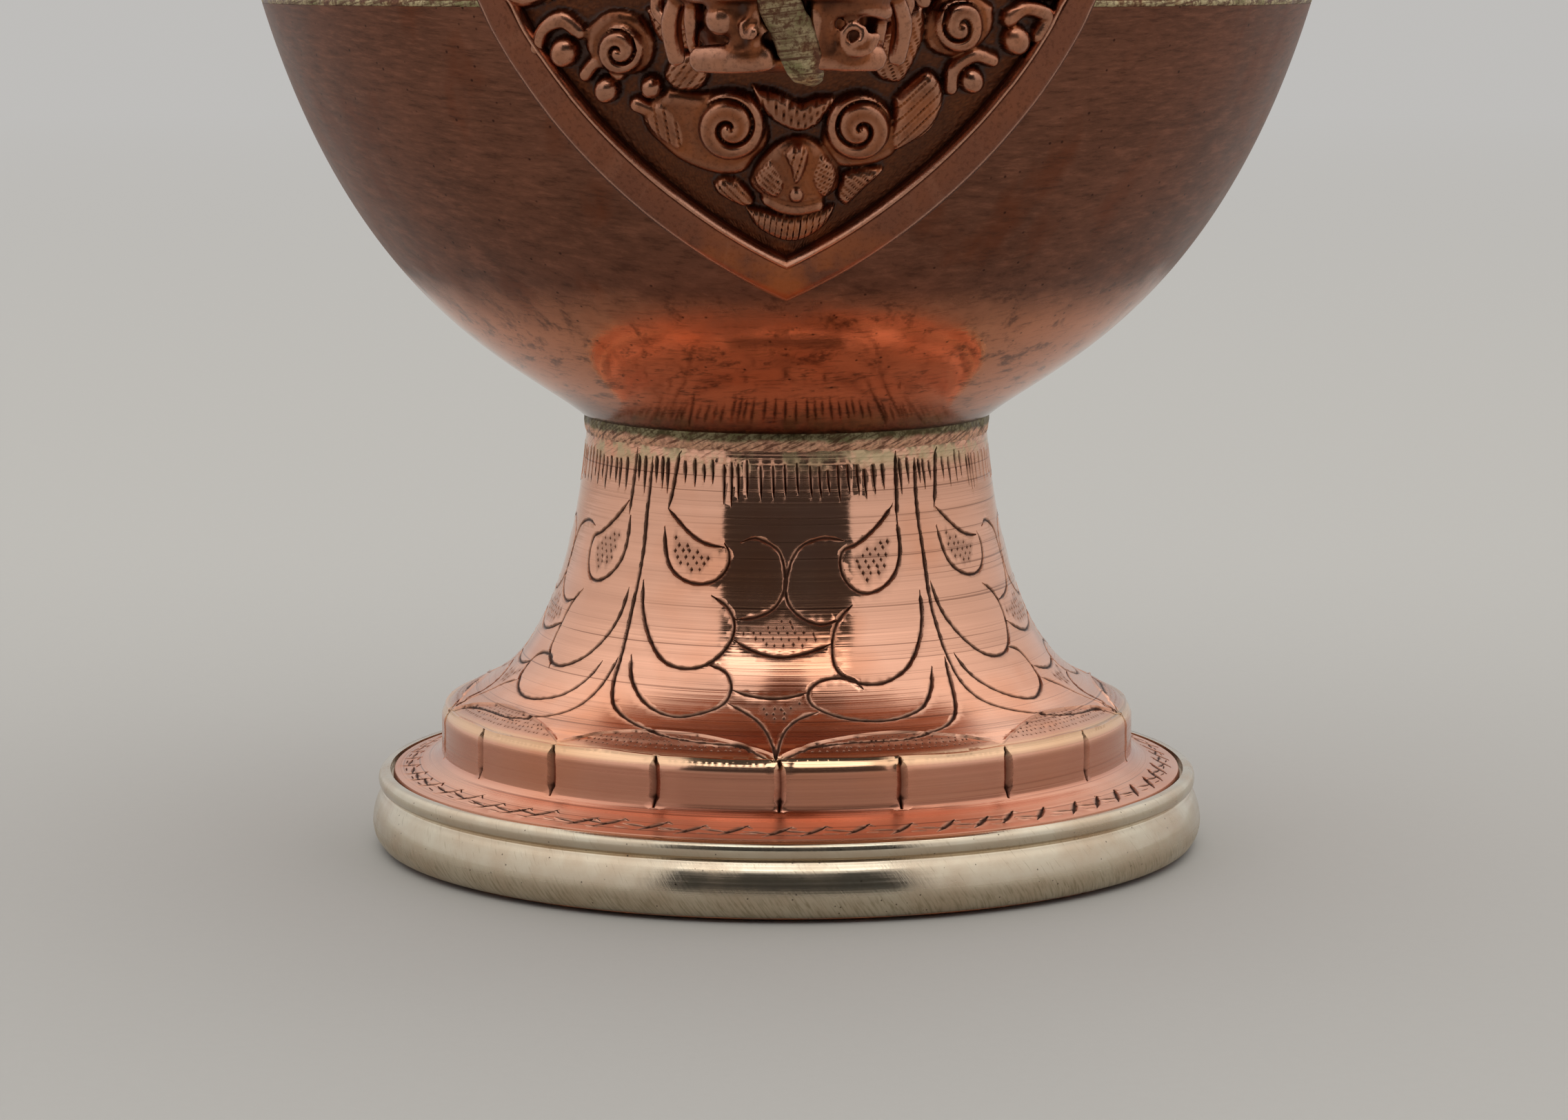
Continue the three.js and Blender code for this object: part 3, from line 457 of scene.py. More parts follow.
def worn_copper(name, body, tints, shine):
    """Chased copper: dark and dull where the hand doesn't reach, rubbed bright on what stands proud, where
    the brightness is partly a painted highlight.
    """
    c = bpy.context.scene.vase_colours
    material, node, shader, place, parts = metal(name, 1.0)
    grit = grain(node, place, 2600, 3, 0.65)
    cloud = grain(node, place, 240, 4)
    soot_and_shade = soot_and_shade_mask(node)
    height = node("Math", parts["Z"], 1 / 0.1, operation="MULTIPLY")
    # Below about 60 mm the chased copper is tinted orange in patches: a painted reflection of the foot's
    # glow, meant for the medallion's lowest point.
    foot_glow_reflection = strength(node, (height, [(0.565, 0.5), (0.62, 0.0)]), (cloud, [(0.42, 0.0), (0.6, 1.0)]))
    base = layered(node, getattr(c, body), [
        (cloud, [(0.4, 0.0), (0.7, tints)], c.heat_tint),
        # Where there is no soot a bright copper layer is laid over: rubbing on what stands proud, and
        # partly a painted highlight.
        (soot_and_shade, [(0.0, shine), (0.12, 0.0)], c.spun_copper),
        # Heavy soot turns the copper dark brown: tarnish in hollows, and a painted contact shadow on the
        # frame's walls.
        (soot_and_shade, [(0.2, 0.0), (0.75, 0.85), (0.95, 1.0)], shade(c.oxide_brown, 0.4)),
        (grit, [(0.3, 0.35), (0.5, 0.0)], c.groove_black),
        # Painted reflection of the foot's glow.
        (foot_glow_reflection, None, c.heat_tint),
    ])
    dull = strength(node, (cloud, [(0.3, 0.19), (0.7, 0.31)]))
    rough = node("Math", soot_and_shade, 0.3, dull, operation="MULTIPLY_ADD", use_clamp=True)
    # Where the soot mask is darkest it isn't metal: soot in the deepest hollows, and the painted contact
    # shadow on the frame's walls.
    material.node_tree.links.new(strength(node, (soot_and_shade, [(0.7, 1.0), (0.95, 0.15)])), shader["Metallic"])
    finish_metal(node, shader, base, rough, [(grit, 0.05, 0.35)])
    return material


def drawn_copper(name):
    """Copper tube, bent and scraped smooth along its length, a little brown from the hearth."""
    c = bpy.context.scene.vase_colours
    material, node, shader, place, parts = metal(name, 1.0)
    lines = grain(node, place, (2600, 2600, 120), 3, 0.6, (-0.35, 0.0, 0.0))
    cloud = grain(node, place, 90, 4, 0.6)
    spots = grain(node, place, 700, 3, 0.6)
    base = layered(node, c.spun_copper, [
        (cloud, [(0.4, 0.0), (0.68, 0.5)], c.heat_tint),
        (cloud, [(0.32, 0.45), (0.5, 0.1)], c.oxide_brown),
        (lines, [(0.32, 0.4), (0.42, 0.0)], c.oxide_brown),
        (spots, [(0.28, 0.6), (0.34, 0.0)], c.oxide_brown),
    ])
    rough = strength(node, (cloud, [(0.3, 0.30), (0.7, 0.16)]))
    finish_metal(node, shader, base, rough, [(lines, 0.03, 0.2), (spots, 0.03, 0.15)])
    return material


def white_metal(name):
    """Nickel silver, cast and filed: yellowish, half polished, with slanted file strokes."""
    c = bpy.context.scene.vase_colours
    material, node, shader, place, parts = metal(name, 1.0)
    lines = grain(node, round_axis(node, parts), (20, 20, 3600), 3, 0.6)
    # File strokes about 0.25 mm apart, leaning with the file, dense on the lowest 2.5 mm, where they are
    # painted olive: filing, and partly a painted reflection of the floor below.
    strokes = grain(node, unrolled(node, parts, RING_RADIUS), (4200, 1, 560), 3, 0.6, (0.0, -0.6, 0.0))
    cloud = grain(node, place, 160, 4)
    pits = node("TexVoronoi", Vector=place, Scale=900)
    height = node("Math", parts["Z"], 1 / 0.01, operation="MULTIPLY")
    low = [(0.17, 1.0), (0.30, 0.0)]
    filed = strength(node, (strokes, [(0.38, 0.7), (0.55, 0.245)]), (height, low))
    olive = shade(c.nickel_silver, 0.5, 0.46, 0.38)
    base = layered(node, c.nickel_silver, [
        (cloud, [(0.38, 0.0), (0.66, 0.9)], shade(c.nickel_silver, 0.86, 0.76, 0.70)),
        (filed, None, olive),
        (strokes, [(0.33, 0.3), (0.42, 0.0)], olive),
        (pits, [(0.04, 0.8), (0.09, 0.0)], c.groove_black),
    ])
    gloss = [strength(node, part)
             for part in ((lines, [(0.3, 0.20), (0.7, 0.10)]), (cloud, [(0.45, 0.0), (0.7, 0.14)]))]
    gloss = node("Math", *gloss, operation="ADD")
    rough = node("Math", strength(node, (height, low)), 0.22, gloss, operation="MULTIPLY_ADD",
                 use_clamp=True)
    finish_metal(node, shader, base, rough, [(lines, 0.03, 0.16), (strokes, 0.04, 0.2)])
    return material


def green_braze(name):
    """Brass filler, filed while rough: pale where cut, with green salts and dark pores between."""
    c = bpy.context.scene.vase_colours
    material, node, shader, place, parts = metal(name, 0.9)
    patches = grain(node, place, 300, 5, 0.62)
    grit = grain(node, place, 2400, 3, 0.7)
    filed = grain(node, unrolled(node, parts, JOINT_RADIUS), (3600, 1, 500), 3, 0.6, (0.0, 1.15, 0.0))
    height = node("Math", parts["Z"], 1 / 0.05, operation="MULTIPLY")
    ragged = node("Math", patches, 0.03, height, operation="MULTIPLY_ADD")
    cut = [(0.79, 0.0), (0.795, 0.85), (0.822, 0.85), (0.828, 0.0)]
    shadow = [(0.822, 0.0), (0.829, 0.9), (0.88, 0.9), (0.9, 0.0)]
    bare_copper_or_glow = strength(node, (ragged, cut), (grit, [(0.4, 0.55), (0.6, 1.0)]))
    crevice = strength(node, (ragged, shadow), (patches, [(0.35, 1.0), (0.62, 0.45)]))
    base = layered(node, shade(c.pale_brass, 0.75, 0.55, 0.38), [
        (patches, [(0.36, 0.0), (0.5, 1.0)], c.pale_brass),
        (patches, [(0.56, 0.0), (0.64, 0.65)], c.verdigris),
        (patches, [(0.38, 0.95), (0.48, 0.0)], c.oxide_brown),
        (grit, [(0.38, 0.85), (0.56, 0.0)], shade(c.oxide_brown, 0.6)),
        (soot_and_shade_mask(node), None, shade(c.oxide_brown, 0.8)),
        # The file went down to bare copper under the belly, with slanted strokes.
        (bare_copper_or_glow, None, c.spun_copper),
        (filed, [(0.40, 0.85), (0.50, 0.0)], shade(c.oxide_brown, 0.7)),
        # The crevice above is painted dark moss green: painted shade under the belly, with green salts.
        (crevice, None, shade(c.verdigris, 0.25)),
    ])
    rough = strength(node, (patches, [(0.35, 0.3), (0.65, 0.6)]))
    finish_metal(node, shader, base, rough, [(grit, 0.06, 0.4), (filed, 0.08, 0.4)])
    return material


# Colour of the painted highlight along the foot's crest.
CREST_HIGHLIGHT_GOLD = (1.0, 0.74, 0.42)
MAKERS = {
    "spun copper, foot": (spun_copper, 0.5, 0.07),
    "spun copper, plain": (spun_copper, 0.35, 0.11),
    "brushed brown copper": (brushed_oxide,),
    "worn chased copper": (worn_copper, "chased_brown", 0.3, 0.34),
    # On the frame the bright layer is strong: partly rubbing, partly a painted highlight along its shoulder
    # and inner ridge.
    "brown frame copper": (worn_copper, "frame_brown", 0.08, 0.6),
    "drawn copper": (drawn_copper,),
    "nickel silver": (white_metal,),
    "green brass braze": (green_braze,),
}


def finish(name):
    """The material of that name, made when first asked for."""
    maker, *values = MAKERS[name]
    return bpy.data.materials.get(name) or maker(name, *values)


# Turned pieces

BASE_OUTLINE = [(0, 0), (38.4, 0), (38.65, 0.15), (38.65, 0.6), (38.5, 0.8), (0, 0.8)]
RIM_OUTLINE = (
    [(36.2, 0.8), (38.95, 0.8), (39.0, 0.4)]
    + flow([(39.1, 0.3), (39.38, 0.5), (39.76, 1.1), (39.94, 1.7), (40.0, 2.2), (39.97, 2.7), (39.86, 3.4),
            (39.68, 4.0), (39.43, 4.6), (39.18, 5.0), (39.05, 5.25)], 3)
    + flow([(38.92, 5.38), (39.12, 5.55), (39.33, 5.85), (39.42, 6.25), (39.36, 6.65), (39.18, 6.95),
            (38.85, 7.15)], 3)
    + [(38.3, 7.15), (38.3, 6.15), (36.2, 6.15), (36.2, 0.8)]
)
BELLY_JOINT = (19.4, 41.2)
BELLY_SEAM = (49.35, 80.25)
BELLY_LOW = curve_between(BELLY_JOINT, BELLY_SEAM, [(0.183, 0.121), (0.712, 0.253)], 70)
BELLY_WIDE = curve_between((49.35, 80.75), (51.8, 98), [(0.76, 0.38), (1, 0.67)], 20)
BELLY_SHOULDER = curve_between((51.8, 98), (15.5, 130.2), [(0, 0.466), (0.421, 0.916)], 60)
STEM_LOW = curve_between((31.3, 14.25), (19.2, 39.6), [(0.03, 0.04), (0.81, 0)], 60)


def inset(outline, wall):
    """The outline moved inwards by the wall."""
    points, run = measured(outline)
    r, z, nr, nz = at_run(points, run, run)
    return [(max(a - wall * u, 0.01), b - wall * v) for a, b, u, v in zip(r, z, nr, nz)]


def build_base():
    settle(turned("base_plate_turned", BASE_OUTLINE), "base_plate", "worn chased copper", 35)
    settle(turned("foot_rim_ring_filed", RIM_OUTLINE, 360), "foot_rim_ring", "nickel silver")


def build_belly():
    wall = bpy.context.scene.vase_sizes.wall / MM
    inner = [(r, max(z, BELLY_JOINT[1] + wall)) for r, z in inset(BELLY_LOW, wall)][::3]
    outline = BELLY_LOW + inner[::-1] + [(0.0, BELLY_JOINT[1] + wall), (0.0, BELLY_JOINT[1]), BELLY_JOINT]
    settle(turned("belly_lower_brushed", outline, 320), "belly_lower", "brushed brown copper", 35)
    upper = BELLY_WIDE + BELLY_SHOULDER[1:]
    outline = upper + inset(upper, wall)[::-3] + [upper[0]]
    settle(turned("belly_upper_brushed", outline, 320), "belly_upper", "brushed brown copper", 35)


def build_brazes():
    rough = bpy.context.scene.vase_sizes.braze_roughness / MM
    bands = (
        ("foot_joint_braze", (19.1, 39.3), (19.35, 41.4), 17.6, 0.16),
        ("belly_seam_braze", (49.3, 80.22), (49.35, 80.78), 48.3, 0.1),
        ("neck_joint_braze", (15.3, 130.0), (15.2, 131.0), 13.2, 0.2),
    )
    steps = 10
    for node, low, high, inner, proud in bands:
        tall = high[1] - low[1]
        outer = [(low[0] + (high[0] - low[0]) * k / steps + proud * math.sin(math.pi * k / steps),
                  low[1] + tall * k / steps) for k in range(steps + 1)]
        piece = turned(node + "_filed", [(inner, low[1]), *outer, (inner, high[1]), (inner, low[1])], 900)
        uneven(piece, 0.8, rough * proud * 4)
        settle(piece, node, "green brass braze", 60)


# Engraving

# One motif of the foot, its lines as (degrees from its middle, height in mm).
MOTIF = [
    [(-36, 38.6), (-36.4, 34), (-36, 30), (-36.3, 26), (-36, 22.5), (-35.4, 20), (-34.8, 18.4), (-33, 17),
     (-30.5, 16.2), (-27, 15.6), (-22.5, 15.1), (-17, 14.7), (-11, 14.5), (-6.5, 14.4), (-3.4, 13.9),
     (-0.8, 13.2)],
    [(36, 20.5), (35.4, 19), (34.4, 17.4), (32.6, 16.1), (29.5, 15.3), (25.5, 14.9), (20, 14.6), (14, 14.6),
     (8.5, 14.5), (4.5, 14.2), (1.6, 13.7), (-0.2, 13.2)],
    [(-27, 40.6), (-28, 38), (-28.9, 35.6), (-29.8, 34)],
    [(-29.8, 34), (-27, 33.1), (-23.8, 32.1), (-20.4, 31.3), (-17, 30.9), (-13.8, 30.8)],
    [(-30.4, 32.3), (-29.3, 30.2), (-27.8, 28.9), (-25.2, 28), (-22, 27.5), (-18.5, 27.4), (-15.4, 27.8),
     (-13.4, 28.6), (-12.5, 29.6), (-12.8, 30.5), (-13.8, 31.1)],
    [(30.5, 39.6), (30.1, 36), (29.6, 33)],
    [(28.6, 34.4), (25.4, 33.1), (22, 32), (18, 31), (15, 30.6), (14, 29.6), (14.5, 28.2), (16.5, 27.1),
     (19.2, 26.6), (22.6, 26.8), (26, 27.6), (28.5, 28.8), (29.7, 30.5), (29.6, 33)],
    [(-9.6, 31.3), (-6.5, 31.7), (-3.4, 31.3), (-0.6, 30.5), (0.6, 29.1), (0.8, 27.5), (-0.2, 26.2),
     (-2.4, 25.2), (-6, 24.6), (-10, 24.4)],
    [(15, 31.4), (11.2, 31.7), (7.6, 31.5), (4.5, 30.9), (2.4, 29.7), (1.4, 28.3), (1, 27), (1.7, 25.8),
     (3.6, 24.9), (6, 24.3), (9, 24), (13, 24.4)],
    [(-34.6, 27.3), (-33.4, 25), (-30.8, 23), (-27.6, 21.4), (-24.4, 20.4), (-20.8, 20), (-17.2, 20.1),
     (-14.2, 20.7), (-12, 21.6), (-10.6, 22.7), (-10.2, 23.8), (-11, 24.8), (-12.8, 25.7), (-16, 26.4)],
    [(33.6, 26.5), (32.8, 24), (30.4, 21.9), (27, 20.2), (23.6, 19.3), (20, 18.8), (16.6, 18.8),
     (13.6, 19.2), (11.6, 19.9), (10.8, 20.9), (10.9, 22.3), (11.6, 23.5), (13.2, 24.6), (16, 25.6)],
    [(-10, 22.6), (-6.8, 21.9), (-3.4, 21.4), (0.2, 21.2), (3.8, 21.4), (7.2, 21.8), (10.6, 22.3)],
    [(-33, 20.7), (-31.4, 19.1), (-28.5, 17.8), (-25.3, 16.9), (-21.6, 16.3), (-18, 16.1), (-14.6, 16.4),
     (-11.6, 16.9), (-9.9, 17.6), (-9.5, 18.7), (-10.6, 19.7), (-12.6, 20.2), (-15, 20.4)],
    [(32, 19.8), (30.2, 18.2), (27, 16.8), (23.4, 16.2), (19.4, 15.9), (15.4, 15.9), (11.2, 16.2),
     (8, 16.7), (5.8, 17.3), (5.2, 18.1), (6.2, 18.8), (8.6, 19.3), (11.8, 19.4), (14.4, 19.2), (16, 18.4)],
    [(-9.2, 18.4), (-6, 18), (-2.8, 17.8), (0.2, 17.8), (3, 18), (5.4, 18.3)],
    [(-9.5, 17.3), (-6.8, 16.8), (-4, 16.1), (-2, 15.2), (-0.8, 14.2), (-0.4, 13.3)],
    [(7, 16.7), (4.4, 16.4), (2.2, 15.9), (0.6, 15.1), (-0.1, 14.1), (-0.3, 13.3)],
]
# Short cuts under the joint: (first, last, pitch in degrees, top, bottom).
HATCH = [(-34.5, -28.8, 1.9, 38.3, 35.9), (-25.5, -16.5, 2.6, 38.4, 36.2), (-14.5, -8.5, 1.8, 38.4, 35.0),
         (-5.5, 7.0, 3.1, 38.2, 35.7), (9.5, 27.5, 2.4, 38.1, 35.5), (31.6, 35.0, 1.9, 38.4, 35.8)]
# Patches filled with punch dots, as outlines.
PUNCHED = [
    [(-27.5, 32), (-22.5, 30.8), (-17.5, 30), (-17.5, 28.8), (-21, 28.4), (-25.2, 29), (-27.6, 30.4)],
    [(26.4, 31.8), (21.5, 30.8), (17.5, 29.8), (17, 28.6), (20, 27.6), (23.4, 28), (25.8, 29), (27, 30.6)],
    [(-9, 23.4), (-3, 22.2), (3.5, 22), (9.4, 22.9), (5, 23.6), (1.2, 24.6), (-2.4, 24), (-6, 23.6)],
    [(-8, 17.4), (-3.5, 16.9), (-1, 16.1), (0.4, 16.1), (3, 17), (4.2, 17.6), (0, 17.2)],
]
# Chisel cuts of one flange mark: (left, low, right, high, half width), sideways in degrees, else in mm.
FLANGE_CUTS = [(-2.0, -0.95, 1.7, 0.95, 0.28), (1.4, 0.92, 2.2, 0.6, 0.28), (-4.6, 0.15, -0.8, -0.2, 0.2),
               (0.9, -0.5, 2.9, -0.6, 0.18)]
# Middles of the motif's repeats in degrees, from the front one on.
MIDDLES = (0, 72, 144, -144, -72)
# Slots in the step band and marks on the flange, to each motif.
SLOTS = 4
MARKS = 13
# A burr runs beside a cut up to this many of its half widths.
BURR_REACH = 1.9
# Punch dots: spacing along a row, spacing of the rows, and spacing of the finer ones, in mm.
DOT_PITCH = 0.74
ROW_PITCH = 0.56
FINE_PITCH = 0.62
# On the flat sheet a degree is drawn this many mm wide.
SHEET_DEGREE = 0.45


def foot_outline():
    """The foot's outside from the flange's edge up to the joint."""
    flange = [(38.0, 6.15), (38.0, 6.5), (38.0, 6.9), (37.85, 7.15)]
    fillet = flow([(37.85, 7.15), (36.8, 7.38), (35.6, 7.73), (34.475, 8.206), (33.75, 8.52),
                   (33.34, 8.9)], 4)
    band = [(33.3, 9.3), (33.3, 10.4), (33.3, 11.5), (33.3, 12.2)]
    crest = flow([(33.3, 12.4), (33.12, 12.85), (32.8, 13.31), (32.2, 13.8), (31.3, 14.25)], 3)
    return flange + fillet[1:] + band + crest + STEM_LOW[1:]


def hand(a, b=0.0):
    """A steady number between -1 and 1 for each pair, in place of chance."""
    value = math.sin(a * 12.9898 + b * 78.233) * 43758.5453
    return 2 * (value - math.floor(value)) - 1


def evenly(points, radius_at, step):
    """A line of (degrees, run) points resampled about every step mm."""
    points = np.array(points, float)
    scale = math.radians(1) * radius_at(points[:, 1].mean())
    path, run = measured(points * (scale, 1))
    count = max(2, int(round(run[-1] / step)) + 1)
    where = np.linspace(0, run[-1], count)
    return np.stack([np.interp(where, run, points[:, 0]), np.interp(where, run, points[:, 1])], 1), where


def cut_lines(outline, run):
    """All cut lines of the foot: arrays of (degrees, run, half width, depth)."""
    sizes = bpy.context.scene.vase_sizes
    half, deep = sizes.groove_width / MM / 2, sizes.groove_depth / MM
    run_of = lambda z: np.interp(z, outline[:, 1], run)
    radius_at = lambda s: np.interp(s, run, outline[:, 0])
    lines = []

    def engrave(points, width, depth, seed, chisel=True, wedge=False):
        path, where = evenly([(a, min(s, run[-1] - 0.3)) for a, s in points], radius_at, 0.42)
        total = where[-1]
        ends = np.clip(np.minimum(where, total - where) / 0.9, 0.25, 1)
        if wedge:
            ends = np.clip(0.6 + where, 0, 1) * (1 - 0.85 * (where / total) ** 1.6)
        step = 1 - 0.34 * ((where / 1.15 + hand(seed, 3)) % 1) if chisel else 1
        lines.append(np.column_stack([path, width * ends * step,
                                      depth * (0.45 + 0.55 * ends) * np.ones(len(path))]))

    for m, middle in enumerate(MIDDLES):
        for k, stroke in enumerate(MOTIF):
            turn, lift = (0.45 * hand(m, k), 0.14 * hand(k, m + 7)) if m else (0, 0)
            engrave([(middle + a + turn, run_of(z) + lift) for a, z in flow(stroke, 4)], half, deep,
                    m * 31 + k)
        for first, last, pitch, top, bottom in HATCH:
            for a in np.arange(first, last, pitch):
                drift = hand(a, m + 60)
                a += 0.35 * hand(m, a + 50)
                ends = [(middle + a, run_of(top) + 0.35 * drift),
                        (middle + a + 0.3, run_of(bottom) + 0.6 * hand(a, m))]
                engrave(ends, half * 0.95, deep, m, False, True)
        for k in range(SLOTS):
            a = middle - 36 + 72 / SLOTS * k + 0.35 * hand(m, k + 80)
            engrave([(a, run_of(8.85)), (a + 0.2, run_of(11)), (a, run_of(13.3))], 0.5, 0.36, k, False)
        for k in range(MARKS):
            a = middle - 36 + 72 * (k + 0.5) / MARKS + 0.8 * hand(k, m)
            at = np.interp(-36.2 - 0.2 * hand(m, k + 90), -outline[:30, 0], run[:30])
            for left, low, right, high, width in FLANGE_CUTS:
                engrave([(a + left, at + low), (a + right, at + high + 0.1 * hand(k, right))], width, 0.14,
                        k, False)
    return lines


def inside(corners, a, z):
    """Whether points lie inside a polygon."""
    hit = np.zeros(np.shape(a), bool)
    for (a0, z0), (a1, z1) in zip(corners, corners[1:] + corners[:1]):
        crosses = (z0 > z) != (z1 > z)
        hit ^= crosses & (a < (a1 - a0) * (z - z0) / ((z1 - z0) or 1e-9) + a0)
    return hit


def punch_dots(outline, run):
    """Where the punch has struck: (degrees, run, share of the full size) of each dot."""
    run_of = lambda z: np.interp(z, outline[:, 1], run)
    dots = []
    for m, middle in enumerate(MIDDLES):
        for region in PUNCHED:
            corners = [(a, float(run_of(z))) for a, z in region]
            row = min(s for a, s in corners) + 0.25
            high = max(s for a, s in corners)
            shifted = False
            while row < high:
                pitch = math.degrees(DOT_PITCH / float(np.interp(row, run, outline[:, 0])))
                a = np.arange(-36, 36, pitch) + (pitch / 2 if shifted else 0)
                for x in a[inside(corners, a, np.full(len(a), row))]:
                    place = (middle + x + 0.25 * hand(x, row), row + 0.08 * hand(row, x + m))
                    dots.append((*place, 1.0 + 0.15 * hand(x, m)))
                row += ROW_PITCH
                shifted = not shifted
    # The lenses over the crest are stippled more finely.
    for row in np.arange(float(run_of(14.0)), float(run_of(15.3)), 0.5):
        pitch = math.degrees(FINE_PITCH / float(np.interp(row, run, outline[:, 0])))
        for a in np.arange(-180, 180, pitch):
            a += 0.3 * hand(a, row)
            if lens(np.array([a]), np.array([row]), run_of)[1][0] > 0.22:
                dots.append((a, row + 0.06 * hand(row, a), 0.6))
    return dots


def struck(where, segments, outline, run, burr):
    """Height and darkness that the cuts give at some points, and how far the nearest cut's edge is."""
    height = np.zeros(len(where))
    dark = np.zeros(len(where))
    clear = np.full(len(where), 9.0)
    mids = (segments[:, 0] + segments[:, 2]) / 2
    for start in np.arange(-180, 180, 4.0):
        here = np.where((where[:, 0] >= start) & (where[:, 0] < start + 4.0 + (start > 175)))[0]
        near = segments[(mids > start - 4) & (mids < start + 8)]
        if not len(here) or not len(near):
            continue
        p = where[here]
        scale = np.radians(np.interp(p[:, 1], run, outline[:, 0]))[:, None]
        ax = (near[None, :, 0] - p[:, None, 0]) * scale
        ay = near[None, :, 1] - p[:, None, 1]
        dx = (near[:, 2] - near[:, 0])[None, :] * scale
        dy = (near[:, 3] - near[:, 1])[None, :]
        t = np.clip(-(ax * dx + ay * dy) / np.maximum(dx * dx + dy * dy, 1e-9), 0, 1)
        wide = near[None, :, 4] + t * (near[None, :, 5] - near[None, :, 4])
        dot = (near[:, 0] == near[:, 2]) & (near[:, 1] == near[:, 3])
        share = np.where(dot, 1.25 * np.abs(ax) + 0.8 * np.abs(ay),
                         np.hypot(ax + t * dx, ay + t * dy)) / wide
        depth = near[None, :, 6]
        stain = np.where(depth > 0.3, 0.45, 1.0)
        cut = np.where(share < 1, (share - 1) * depth + share * burr, 0)
        edge = np.where((share >= 1) & (share < BURR_REACH),
                        (BURR_REACH - share) / (BURR_REACH - 1) * burr, 0)
        height[here] = np.where(share.min(1) < 1, cut.min(1), edge.max(1))
        dark[here] = (np.clip((1.15 - share) * 1.6, 0, 1) * stain).max(1)
        clear[here] = ((share - BURR_REACH) * wide).min(1)
    return height, dark, clear


def lens_edges(a, run_of):
    """Where the crest's bead and the arched ridges over it run, at some degrees round the foot."""
    phase = (a % 36) / 36
    bead = run_of(13.35) + 0.10 * np.sin(np.radians(a * 10)) + 0.05 * np.sin(np.radians(a * 23))
    return phase, bead, bead + 0.35 + (run_of(15.15) - run_of(13.7)) * np.sin(np.pi * phase) ** 0.8


def lens(a, s, run_of):
    """Height and darkness of the stippled lenses between the crest's bead and the ridge over it."""
    phase, bead, ridge = lens_edges(a, run_of)
    within = np.clip((s - bead) / 0.25, 0, 1) * np.clip((ridge - s) / 0.2, 0, 1)
    height = -0.10 * within
    height += 0.13 * np.clip(1 - np.abs(s - bead) / 0.26, 0, 1)
    height += 0.12 * np.clip(1 - np.abs(s - ridge) / 0.2, 0, 1) * np.clip(np.sin(np.pi * phase) * 4, 0, 1)
    return height, 0.24 * within


